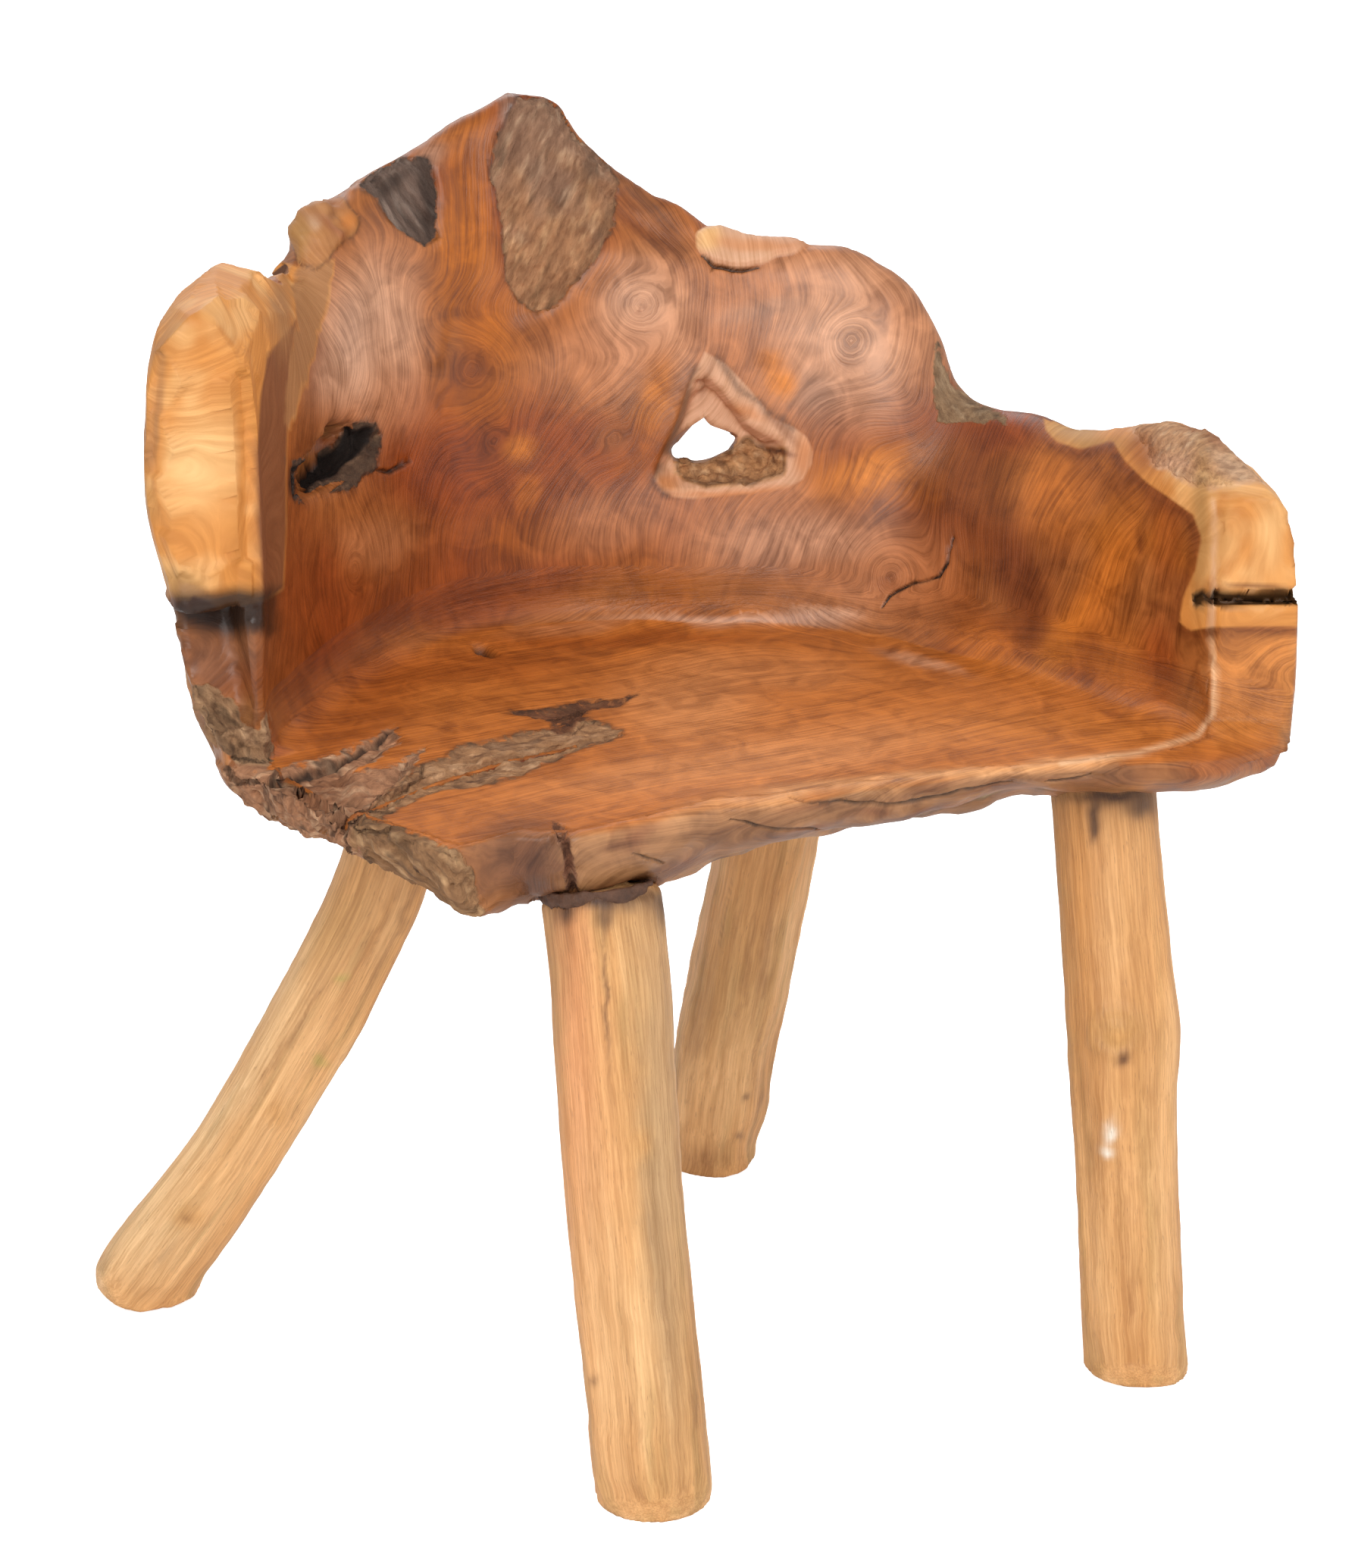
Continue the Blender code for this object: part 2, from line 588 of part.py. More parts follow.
def socket_cutter(name, sizes):
    """The blind mortise, its spot face and the clear space below it."""
    centre, axis, turn = socket_frame(sizes)
    wide = LEG_RADIUS * sizes["girth_shares"][-1] + FILLER_WIDTH + 2 * FIT_CLEARANCE
    narrow = TENON_RADIUS + FIT_CLEARANCE
    floor = centre + axis * SOCKET_DEPTH
    blind = floor + axis * (TENON_LENGTH * sizes["tenon_share"])
    rings = [
        circle(wide, centre - axis * CUT_OVERRUN, turn),
        circle(wide, floor, turn),
        circle(narrow, floor, turn),
        circle(narrow, blind, turn),
    ]
    return add_object(name, loft(rings))


def centre_on_floor(nodes):
    """Moves the chair so that the middle of its box is over the origin and its feet are at zero."""
    bpy.context.view_layer.update()
    graph = bpy.context.evaluated_depsgraph_get()
    corners = [n.matrix_world @ Vector(c) for n in nodes for c in n.evaluated_get(graph).bound_box]
    low = Vector([min(c[i] for c in corners) for i in range(3)])
    high = Vector([max(c[i] for c in corners) for i in range(3)])
    chair = bpy.data.objects.new("chair", None)
    bpy.context.scene.collection.objects.link(chair)
    for thing in list(bpy.data.objects):
        if thing is not chair:
            thing.parent = chair
    chair.location = (-(low.x + high.x) / 2, -(low.y + high.y) / 2, -low.z)


def main():
    clear_scene()
    heartwood = paint("oiled_heartwood", HEARTWOOD)
    sapwood = paint("peeled_pole", SAPWOOD)
    wedge_wood = paint("wedge_wood", WEDGE_WOOD)
    filler = paint("sawdust_glue", FILLER_PASTE)
    root = add_object("root_body", root_blank(), heartwood)
    cut_root(root)
    nodes = [root]
    for place, sizes in LEGS.items():
        # The exact solver leaves open edges at the right arm's foot here, and the manifold one doesn't.
        cut(root, socket_cutter("socket_" + place, sizes), "MANIFOLD")
        leg = pole("leg_" + place, sizes, sapwood)
        kerf_width = TENON_RADIUS + CUT_OVERRUN
        cut(leg, wedge_solid("kerf_" + place, sizes, FIT_CLEARANCE, kerf_width))
        wedge_width = TENON_RADIUS * WEDGE_WIDTH_SHARE
        wedge = wedge_solid("wedge_" + place, sizes, 0, wedge_width, wedge_wood)
        ring = filler_ring("filler_" + place, sizes, filler)
        nodes += [leg, wedge, ring]
    centre_on_floor(nodes)


main()
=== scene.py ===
import json
import math

import bmesh
import bpy
import numpy as np
from mathutils import Matrix, Vector
from mathutils.bvhtree import BVHTree
from mathutils.kdtree import KDTree


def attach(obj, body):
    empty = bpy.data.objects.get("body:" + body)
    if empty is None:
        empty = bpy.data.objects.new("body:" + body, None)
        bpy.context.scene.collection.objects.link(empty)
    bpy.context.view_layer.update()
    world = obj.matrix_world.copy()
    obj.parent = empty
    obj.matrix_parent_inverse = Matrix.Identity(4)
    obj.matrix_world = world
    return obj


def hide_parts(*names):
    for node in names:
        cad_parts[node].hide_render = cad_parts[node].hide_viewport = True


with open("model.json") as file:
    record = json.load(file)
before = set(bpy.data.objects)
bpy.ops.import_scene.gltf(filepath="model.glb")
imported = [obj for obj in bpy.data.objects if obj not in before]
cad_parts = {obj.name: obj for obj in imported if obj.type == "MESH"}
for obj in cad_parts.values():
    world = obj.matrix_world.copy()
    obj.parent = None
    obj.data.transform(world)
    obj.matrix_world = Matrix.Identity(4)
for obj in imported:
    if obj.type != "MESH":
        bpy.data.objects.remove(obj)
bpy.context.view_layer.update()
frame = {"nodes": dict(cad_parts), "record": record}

# Lengths are in metres. Places on the photograph are in its own pixels, 1792 wide and 2069 high.
MM = 0.001
PHOTO_WIDTH = 1792
PHOTO_HEIGHT = 2069
# In millimetres, as Blender takes it
SENSOR_HEIGHT = 36.0

# Where the photograph was taken from
VIEW_TURN = math.radians(-25.0)
VIEW_RISE = math.radians(20.0)
VIEW_DISTANCE = 3.6
FOCAL_PIXELS = 7488.0

# The seat's centre from the front left foot, and the point that the camera looks at from the seat's centre
CENTRE_FROM_FOOT = Vector((0.153, 0.273, 0.0))
AIM_FROM_CENTRE = Vector((-0.07, -0.13, 0.42))
SEAT_HEIGHT = 0.420


def mount_place(name):
    """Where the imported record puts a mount."""
    for mount in frame["record"]["mounts"]:
        if mount["name"] == name:
            return Vector(mount["pos_m"])
    raise ValueError(name)


SEAT_CENTRE = mount_place("foot_front_left") + CENTRE_FROM_FOOT
AIM = SEAT_CENTRE + AIM_FROM_CENTRE
BACKWARD = Vector(
    (
        math.sin(VIEW_TURN) * math.cos(VIEW_RISE),
        -math.cos(VIEW_TURN) * math.cos(VIEW_RISE),
        math.sin(VIEW_RISE),
    )
)
RIGHTWARD = Vector((math.cos(VIEW_TURN), math.sin(VIEW_TURN), 0.0))
UPWARD = BACKWARD.cross(RIGHTWARD)
EYE = AIM + BACKWARD * VIEW_DISTANCE

# The places that are carved or coloured on their own: closed outlines, traced on the photograph
ZONES = {
    "left_block": (
        (190, 640), (186, 520), (205, 430), (262, 355), (330, 338), (392, 352), (404, 372), (392, 420),
        (384, 480), (380, 600), (378, 700), (374, 778), (352, 792), (300, 800), (228, 776), (205, 730),
    ),
    "block_side": (
        (352, 470), (392, 420), (384, 480), (380, 600), (378, 700), (374, 778), (345, 792), (340, 700),
        (341, 600), (345, 520),
    ),
    "block_strip": (
        (384, 352), (440, 340), (438, 380), (424, 440), (400, 520), (384, 570), (378, 560), (384, 480),
        (392, 420),
    ),
    # The shadow under the left block, which is painted dark
    "undercut": (
        (224, 770), (380, 770), (374, 850), (300, 842), (232, 832),
    ),
    "weathered_chunk": (
        (236, 906), (255, 905), (279, 905), (308, 925), (318, 955), (341, 962), (354, 940), (360, 1000),
        (350, 1018), (317, 1022), (290, 1000), (262, 968), (240, 930),
    ),
    "low_shelf": (
        (290, 1015), (356, 1016), (410, 1004), (520, 962), (530, 975), (470, 1020), (520, 1010), (560, 985),
        (548, 1012), (486, 1078), (470, 1130), (418, 1115), (380, 1110), (318, 1080),
    ),
    "seat_groove": (
        (480, 1083), (547, 1012), (600, 990), (657, 976), (714, 961), (767, 949), (822, 958), (818, 974),
        (772, 984), (738, 999), (690, 1020), (628, 1037), (561, 1052), (500, 1086),
    ),
    "small_crack": (
        (672, 938), (720, 938), (780, 926), (838, 918), (818, 930), (780, 938), (752, 956), (728, 956),
        (700, 946),
    ),
    "seat_pit": (
        (616, 849), (640, 850), (664, 862), (650, 868), (628, 862),
    ),
    "prow": (
        (478, 1078), (520, 1088), (566, 1106), (604, 1122), (622, 1150), (640, 1215), (580, 1200),
        (530, 1170), (485, 1130), (470, 1100),
    ),
    "front_notch": (
        (728, 1082), (744, 1086), (766, 1180), (752, 1186), (742, 1140),
    ),
    "window_face": (
        (868, 616), (863, 631), (873, 648), (890, 656), (915, 658), (1002, 650), (1040, 644), (1060, 632),
        (1071, 612), (1072, 594), (1064, 576), (1046, 563), (1020, 552), (988, 512), (957, 480), (930, 464),
        (912, 505), (895, 560), (877, 600),
    ),
    "window_basin": (
        (895, 622), (900, 606), (908, 598), (918, 612), (933, 613), (960, 602), (984, 580), (1002, 592),
        (1018, 598), (1040, 593), (1036, 620), (993, 638), (930, 641), (904, 631),
    ),
    "window_funnel": (
        (930, 466), (953, 486), (979, 517), (1011, 540), (1037, 566), (1040, 589), (1024, 598), (984, 574),
        (957, 570), (941, 549), (920, 560), (895, 580), (908, 544), (919, 495),
    ),
    "hollow": (
        (386, 606), (414, 600), (440, 578), (458, 560), (491, 560), (500, 575), (494, 613), (468, 640),
        (396, 664),
    ),
    # The hollow's deepest part, carved down and painted dark as shade
    "dark_hollow": (
        (386, 614), (414, 604), (440, 587), (455, 567), (489, 567), (486, 585), (440, 622), (402, 648),
        (388, 660),
    ),
    "bark": (
        (690, 118), (684, 130), (668, 160), (654, 200), (648, 227), (657, 272), (664, 317), (668, 366),
        (684, 397), (707, 408), (730, 398), (753, 372), (781, 345), (803, 312), (812, 272), (816, 236),
        (800, 200), (770, 175), (748, 135), (724, 112),
    ),
    "char": (
        (476, 246), (514, 214), (566, 216), (574, 253), (578, 314), (563, 326), (533, 301), (502, 274),
        (483, 256),
    ),
    "rim_knob": (
        (372, 312), (378, 280), (403, 260), (430, 250), (456, 262), (476, 286), (474, 305), (452, 320),
        (430, 340), (410, 352), (385, 347),
    ),
    "rim_lip": (
        (919, 306), (930, 296), (1002, 300), (1092, 322), (1050, 339), (1002, 350), (966, 353), (937, 346),
        (922, 332),
    ),
    "outer_scar": (
        (1236, 455), (1262, 500), (1310, 540), (1330, 560), (1270, 556), (1240, 556),
    ),
    "arm_sapwood": (
        (1372, 545), (1380, 572), (1395, 584), (1426, 593), (1468, 583), (1483, 606), (1514, 637),
        (1548, 660), (1575, 679), (1586, 710), (1579, 752), (1563, 785), (1556, 820), (1571, 832),
        (1600, 827), (1700, 826), (1735, 826), (1730, 650), (1640, 540), (1500, 520),
    ),
    "arm_end": (
        (1566, 668), (1600, 652), (1650, 650), (1716, 690), (1724, 780), (1724, 930), (1690, 960),
        (1600, 960), (1560, 850), (1556, 800), (1580, 740),
    ),
    "arm_top": (
        (1496, 572), (1530, 556), (1575, 548), (1620, 556), (1656, 588), (1700, 634), (1652, 636),
        (1606, 642), (1572, 636), (1530, 612),
    ),
}
# Open lines traced in the same way: cracks, furrows, ridges, arrises and a bead
CREVICE_LINE = ((346, 1028), (385, 1020), (420, 1010), (460, 994))
CREVICE_END = ((440, 1001), (478, 985), (526, 962))
WINDOW_LINES = (
    ((918, 490), (906, 545), (886, 594)),
    ((945, 474), (985, 520), (1015, 546), (1044, 564)),
    ((872, 612), (866, 640), (880, 656)),
)
SLOT_LINE = ((1584, 789), (1716, 788))
CREASE_BEAD = (
    (560, 862), (640, 842), (720, 831), (800, 823), (900, 818), (1000, 815), (1060, 809), (1110, 806),
    (1150, 826), (1210, 868), (1270, 884),
)
PEAK_CURL = ((668, 142), (682, 156), (678, 176), (668, 190))
LIP_GAP = ((928, 340), (945, 353), (968, 357), (1000, 355))
FRONT_ARRIS = (
    (767, 1102), (850, 1080), (950, 1057), (1124, 1037), (1280, 1017), (1400, 1010), (1470, 1004),
)
ARM_ARRIS = (
    (1603, 664), (1602, 760), (1598, 838), (1603, 900), (1601, 940), (1580, 968), (1500, 992), (1400, 1008),
)
BACK_RIDGE = (
    (700, 432), (745, 395), (775, 352), (800, 338), (850, 336), (905, 348), (950, 362), (1010, 352),
    (1060, 346), (1110, 352),
)
BACK_FOLD = ((580, 330), (590, 400), (574, 470))
CHAR_FOLD = ((578, 226), (592, 262), (588, 322))
PEAK_RIDGE = ((792, 172), (826, 214), (872, 262), (915, 298))
PEAK_FURROW = ((800, 246), (842, 292), (886, 332))
FASCIA_CRACKS = (
    ((1040, 1052), (1130, 1062), (1220, 1056), (1335, 1036)),
    ((960, 1084), (1020, 1092), (1085, 1096)),
    ((834, 1126), (850, 1134), (880, 1142)),
    ((1380, 1036), (1410, 1030), (1440, 1026)),
)
HOLLOW_CRACK = ((494, 618), (512, 622), (542, 612))
RIGHT_CRACK = ((1165, 800), (1177, 786), (1207, 769), (1238, 761), (1253, 742), (1262, 706))


def clamp(values, low=0.0, high=1.0):
    return np.minimum(np.maximum(values, low), high)


def ease(low, high, values):
    """0 below low, 1 above high, and a smooth step between them."""
    share = clamp((values - low) / (high - low))
    return share * share * (3.0 - 2.0 * share)


def chance(cells, seed):
    """A fixed random share for each whole-numbered place."""
    mixed = cells[:, 0] * 73856093 ^ cells[:, 1] * 19349663 ^ cells[:, 2] * 83492791 ^ seed * 2654435
    mixed = (mixed ^ (mixed >> 13)) * 1274126177 & 0x7FFFFFFF
    mixed = (mixed ^ (mixed >> 16)) * 668265263 & 0x7FFFFFFF
    return (mixed >> 7 & 0xFFFF) / 65535.0


def lumps(points, size, seed, layers=1):
    """Smooth noise from about -1 to 1, with lumps of this size, and finer ones at half strength per layer."""
    total = np.zeros(len(points))
    strength = 1.0
    for layer in range(layers):
        places = points / size + seed * 17.3
        cells = np.floor(places).astype(np.int64)
        shares = places - cells
        shares = shares * shares * (3.0 - 2.0 * shares)
        for corner in np.ndindex(2, 2, 2):
            weight = np.ones(len(points))
            for axis in range(3):
                weight = weight * (shares[:, axis] if corner[axis] else 1.0 - shares[:, axis])
            total += strength * weight * (2.0 * chance(cells + np.array(corner), seed + layer) - 1.0)
        strength *= 0.5
        size *= 0.5
    return total


def noise_pair(points, size, seed, layers):
    """Two noises side by side, which shift places on the photograph."""
    return np.stack([lumps(points, size, seed, layers), lumps(points, size, seed + 1, layers)], axis=1)


def photo_places(points):
    """Where each point falls on the photograph, in pixels."""
    from_eye = points - np.array(EYE)
    depth = -(from_eye @ np.array(BACKWARD))
    across = PHOTO_WIDTH / 2 + FOCAL_PIXELS * (from_eye @ np.array(RIGHTWARD)) / depth
    down = PHOTO_HEIGHT / 2 - FOCAL_PIXELS * (from_eye @ np.array(UPWARD)) / depth
    return np.stack([across, down], axis=1)


def line_gap(places, line):
    """Each place's distance from a line of pixel places, and how far along the line it lies, from 0 to 1."""
    least = np.full(len(places), 1e9)
    along = np.zeros(len(places))
    steps = len(line) - 1
    for i in range(steps):
        start = np.array(line[i], float)
        step = np.array(line[i + 1], float) - start
        share = clamp((places - start) @ step / (step @ step))
        gap = np.linalg.norm(places - start - share[:, None] * step, axis=1)
        nearer = gap < least
        least = np.where(nearer, gap, least)
        along = np.where(nearer, (i + share) / steps, along)
    return least, along


def ring_gap(places, ring):
    """Each place's distance from a ring's edge in pixels, more than zero inside it."""
    gap, _ = line_gap(places, (*ring, ring[0]))
    inside = np.zeros(len(places), bool)
    for i in range(len(ring)):
        (ax, ay), (bx, by) = ring[i - 1], ring[i]
        if ay == by:
            continue
        crosses = (places[:, 1] < ay) != (places[:, 1] < by)
        inside ^= crosses & (places[:, 0] < ax + (bx - ax) * (places[:, 1] - ay) / (by - ay))
    return np.where(inside, gap, -gap)


def spot(places, x, y, half_width, half_height, lean=0.0, firm=1.0):
    """A round spot on the photograph: 1 at its middle, nearly 0 outside, with a firmer edge as firm rises."""
    turn = math.radians(lean)
    right = (places[:, 0] - x) * math.cos(turn) + (places[:, 1] - y) * math.sin(turn)
    down = (places[:, 1] - y) * math.cos(turn) - (places[:, 0] - x) * math.sin(turn)
    return np.exp(-(((right / half_width) ** 2 + (down / half_height) ** 2) ** firm))


def colour(code):
    """A colour written as sRGB hex, turned to linear."""
    parts = [int(code[i : i + 2], 16) / 255.0 for i in (1, 3, 5)]
    return np.array([part / 12.92 if part <= 0.04045 else ((part + 0.055) / 1.055) ** 2.4 for part in parts])


def blend(first, second, share):
    """The first colours turned to the second by a share per point."""
    return first + (second - first) * np.asarray(share)[:, None]


class Piece:
    """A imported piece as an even, fine mesh whose points are worked as arrays."""

    def __init__(self, name, cell):
        self.name = name
        self.source = frame["nodes"][name]
        self.mesh = self.even_mesh(cell)
        self.shell = BVHTree.FromObject(self.source, bpy.context.evaluated_depsgraph_get())
        self.read()

    def even_mesh(self, cell):
        rough = bpy.data.objects.new("rough_" + self.name, self.source.data.copy())
        bpy.context.scene.collection.objects.link(rough)
        remesh = rough.modifiers.new("even", "REMESH")
        remesh.mode = "VOXEL"
        remesh.voxel_size = cell
        graph = bpy.context.evaluated_depsgraph_get()
        mesh = bpy.data.meshes.new_from_object(rough.evaluated_get(graph))
        bpy.data.objects.remove(rough)
        return mesh

    def read(self):
        count = len(self.mesh.vertices)
        flat = np.empty(count * 3, np.float32)
        self.mesh.vertices.foreach_get("co", flat)
        self.points = flat.reshape(-1, 3).astype(float)
        edges = np.empty(len(self.mesh.edges) * 2, np.int32)
        self.mesh.edges.foreach_get("vertices", edges)
        self.edges = edges.reshape(-1, 2)

    def write(self):
        self.mesh.vertices.foreach_set("co", self.points.astype(np.float32).ravel())
        self.mesh.update()

    def normals(self):
        self.write()
        flat = np.empty(len(self.points) * 3, np.float32)
        self.mesh.vertex_normals.foreach_get("vector", flat)
        return flat.reshape(-1, 3).astype(float)

    def averaged(self, values):
        """The mean over each point's neighbours."""
        first, second = self.edges[:, 0], self.edges[:, 1]
        count = len(self.points)
        near = np.bincount(first, minlength=count) + np.bincount(second, minlength=count)
        columns = []
        for column in np.atleast_2d(values.T):
            total = np.bincount(first, column[second], count) + np.bincount(second, column[first], count)
            columns.append(total / np.maximum(near, 1))
        return np.stack(columns, axis=1).reshape(values.shape)

    def soften(self, weight, rounds):
        """Moves each point towards its neighbours' mean."""
        for _ in range(rounds):
            self.points += (self.averaged(self.points) - self.points) * weight[:, None]

    def seat_on_source(self, chosen):
        """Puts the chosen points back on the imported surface, which sharpens the arrises again."""
        for i in np.flatnonzero(chosen):
            place, _, _, _ = self.shell.find_nearest(Vector(self.points[i]))
            self.points[i] = place

    def refine(self, chosen):
        """Splits the edges whose two ends are chosen."""
        self.write()
        shape = bmesh.new()
        shape.from_mesh(self.mesh)
        shape.edges.ensure_lookup_table()
        both = chosen[self.edges[:, 0]] & chosen[self.edges[:, 1]]
        marked = [shape.edges[i] for i in np.flatnonzero(both)]
        bmesh.ops.subdivide_edges(shape, edges=marked, cuts=1, use_grid_fill=True)
        shape.to_mesh(self.mesh)
        shape.free()
        self.read()

    def behind(self):
        """How far each point lies behind the piece's first surface that the camera sees in its direction."""
        gaps = np.empty(len(self.points))
        for i, point in enumerate(self.points):
            sight = Vector(point) - EYE
            _, _, _, hit = self.shell.ray_cast(EYE, sight)
            nearest = sight.length if hit is None else hit
            gaps[i] = max(sight.length - nearest, 0.0)
        return gaps

    def keep(self, name, values):
        """Stores a value, a place or a colour for each point under a name that the material reads."""
        if values.ndim == 1:
            layer = self.mesh.attributes.new(name, "FLOAT", "POINT")
            layer.data.foreach_set("value", values.astype(np.float32))
        elif name.endswith("_at"):
            layer = self.mesh.attributes.new(name, "FLOAT_VECTOR", "POINT")
            layer.data.foreach_set("vector", values.astype(np.float32).ravel())
        else:
            layer = self.mesh.attributes.new(name, "FLOAT_COLOR", "POINT")
            full = np.concatenate([clamp(values), np.ones((len(values), 1))], axis=1)
            layer.data.foreach_set("color", full.astype(np.float32).ravel())

    def place(self, material):
        """Puts the worked mesh in the scene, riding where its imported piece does."""
        self.write()
        self.mesh.materials.clear()
        self.mesh.materials.append(material)
        self.mesh.shade_smooth()
        worked = bpy.data.objects.new("worked_" + self.name, self.mesh)
        bpy.context.scene.collection.objects.link(worked)
        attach(worked, "root")
        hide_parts(self.name)
        return worked


def sharp_edge_points(source, least_angle, step):
    """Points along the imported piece's arrises."""
    shape = bmesh.new()
    shape.from_mesh(source.data)
    bmesh.ops.remove_doubles(shape, verts=shape.verts, dist=MM / 100)
    found = []
    for edge in shape.edges:
        if len(edge.link_faces) == 2 and edge.calc_face_angle() > least_angle:
            start, end = edge.verts[0].co, edge.verts[1].co
            count = max(1, int((end - start).length / step))
            found += [start.lerp(end, i / count) for i in range(count + 1)]
    shape.free()
    return found


def gap_to(points, targets):
    """Each point's distance from the nearest of the targets."""
    tree = KDTree(len(targets))
    for i, target in enumerate(targets):
        tree.insert(target, i)
    tree.balance()
    return np.array([tree.find(Vector(point))[2] for point in points])


# Sockets go by number. Mix takes the share at 0, two values at 2 and 3 and two colours at 6 and 7, and gives
# the mixed colour at 2. Map Range takes the value at 0, its old range at 1 and 2, and its new one at 3 and 4.
# Attribute gives a colour at 0, a vector at 1 and a value at 2. Texture Coordinate gives the object's at 3.
def add(tree, kind, inputs=None, out=0, **settings):
    """Adds a node, gives it its settings, fills or joins its inputs, and gives back one of its outputs."""
    made = tree.nodes.new("ShaderNode" + kind)
    for key, value in settings.items():
        setattr(made, key, value)
    for key, value in (inputs or {}).items():
        if isinstance(value, bpy.types.NodeSocket):
            tree.links.new(value, made.inputs[key])
        else:
            made.inputs[key].default_value = value
    return made.outputs[out]


def new_material(name):
    material = bpy.data.materials.new(name)
    material.use_nodes = True
    tree = material.node_tree
    return material, tree, tree.nodes["Principled BSDF"]


def tone(code):
    """A colour written as sRGB hex, for a node's socket."""
    return (*colour(code), 1.0)


# The root's net of points. Points nearer than ARRIS_NEAR to a crisp arris keep their packed places, and those
# beyond ARRIS_FAR are smoothed freely.
ROOT_CELL = 5.4 * MM
ARRIS_ANGLE = math.radians(38.0)
ARRIS_STEP = 3.0 * MM
ARRIS_NEAR = 3.0 * MM
ARRIS_FAR = 14.0 * MM
SMOOTHING_ROUNDS = 14
# The upper rim is rounded between two x of the photograph, apart from the window's arris in its box
RIM_ABOVE_SEAT = 60.0 * MM
RIM_SPAN = (400.0, 1590.0)
WINDOW_BOX = (850.0, 450.0, 1090.0, 670.0)
# How far behind the first surface that the camera sees the net is still made finer
FINE_BEHIND = 30.0 * MM
WORKED_ZONES = (
    "left_block", "block_strip", "weathered_chunk", "low_shelf", "seat_groove", "small_crack", "seat_pit",
    "prow", "front_notch", "window_face", "hollow", "bark", "char", "rim_knob", "rim_lip", "outer_scar",
    "arm_top",
)
FINE_ZONES = (
    "weathered_chunk", "low_shelf", "seat_groove", "small_crack", "prow", "front_notch", "window_basin",
    "hollow", "bark", "char",
)
THIN_LINES = (CREVICE_LINE, CREVICE_END, SLOT_LINE, HOLLOW_CRACK, RIGHT_CRACK, LIP_GAP, *FASCIA_CRACKS)
# Each pass that makes the net finer: the zones, how far round them and round the thin lines it reaches, in
# pixels, and how far round the arrises
FINER_PASSES = (
    (WORKED_ZONES, 12.0, 12.0, 6.0 * MM),
    (FINE_ZONES, 5.0, 11.0, 0.0),
)


def nearest_zone(places, names):
    """The largest ring gap of the named zones, so more than zero inside any of them."""
    return np.max([ring_gap(places, ZONES[name]) for name in names], axis=0)


def nearest_line(places, lines):
    """Each place's distance from the nearest of several lines."""
    return np.min([line_gap(places, line)[0] for line in lines], axis=0)


def kept_arrises(root):
    """The arrises that stay crisp: the seat's, the left block's, the window's and the right arm's."""
    found = sharp_edge_points(root.source, ARRIS_ANGLE, ARRIS_STEP)
    left, top, right, bottom = WINDOW_BOX
    kept = []
    for point, (x, y) in zip(found, photo_places(np.array(found))):
        on_rim = point.z > SEAT_HEIGHT + RIM_ABOVE_SEAT and RIM_SPAN[0] < x < RIM_SPAN[1]
        by_window = left < x < right and top < y < bottom
        if by_window or not on_rim:
            kept.append(point)
    return kept


def netted_root():
    """The root as a net that is coarse on the polished wood and fine where the wood is rough or cracked."""
    root = Piece("root_body", ROOT_CELL)
    root.seat_on_source(np.ones(len(root.points), bool))
    arrises = kept_arrises(root)
    free = ease(ARRIS_NEAR, ARRIS_FAR, gap_to(root.points, arrises))
    # The block is cut flat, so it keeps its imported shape
    free *= ease(4.0, -8.0, ring_gap(photo_places(root.points), ZONES["left_block"]))
    root.soften(0.5 * free, SMOOTHING_ROUNDS)
    for names, zone_margin, line_margin, arris_margin in FINER_PASSES:
        places = photo_places(root.points)
        shown = root.behind() < FINE_BEHIND
        rough = nearest_zone(places, names) > -zone_margin
        thin = nearest_line(places, THIN_LINES) < line_margin
        root.refine(shown & (rough | thin | (gap_to(root.points, arrises) < arris_margin)))
        root.seat_on_source(gap_to(root.points, arrises) < ARRIS_NEAR)
    return root


# Within the near distance of this place on the back, in pixels, the stains wander only half as much
CALM_MIDDLE = (1120.0, 620.0)
CALM_NEAR = 700.0
CALM_FAR = 900.0


def above_seat(height, low, high):
    """0 below the low level and 1 above the high one, with both in mm above the seat."""
    return ease(SEAT_HEIGHT + low * MM, SEAT_HEIGHT + high * MM, height)


def root_places(root):
    """What the carving and the colouring need to know of each point."""
    photo = photo_places(root.points)
    from_centre = root.points - np.array(SEAT_CENTRE)
    height = from_centre[:, 2]
    normals = root.normals()
    reach = np.hypot(from_centre[:, 0], from_centre[:, 1])
    radial = from_centre[:, :2] / np.maximum(reach, 1e-6)[:, None]
    outward = (normals[:, :2] * radial).sum(axis=1)
    from_calm = np.linalg.norm(photo - CALM_MIDDLE, axis=1)
    return {
        "photo": photo,
        "from_centre": from_centre,
        "height": height,
        "normals": normals,
        "up": normals[:, 2],
        "outward": outward,
        "facing": normals @ np.array(BACKWARD),
        "front": ease(0.25, 0.6, outward) * above_seat(height, 6.0, -4.0),
        "calm": 1.0 - 0.5 * ease(CALM_FAR, CALM_NEAR, from_calm),
        "seen": 1.0 - ease(6.0 * MM, 26.0 * MM, root.behind()),
    }


# Zones whose edges are cut or smooth, not ragged
SMOOTH_EDGED = (
    "left_block", "block_side", "arm_end", "seat_pit", "window_face", "window_funnel", "arm_sapwood",
)
# Zones of broken wood, which is carved in crumbs, grit and pits
BROKEN_ZONES = ("weathered_chunk", "low_shelf", "prow", "window_basin", "hollow")
# What is taken off a zone's gap for a point that the camera doesn't see, so that it falls out of every zone
HIDDEN = 400.0

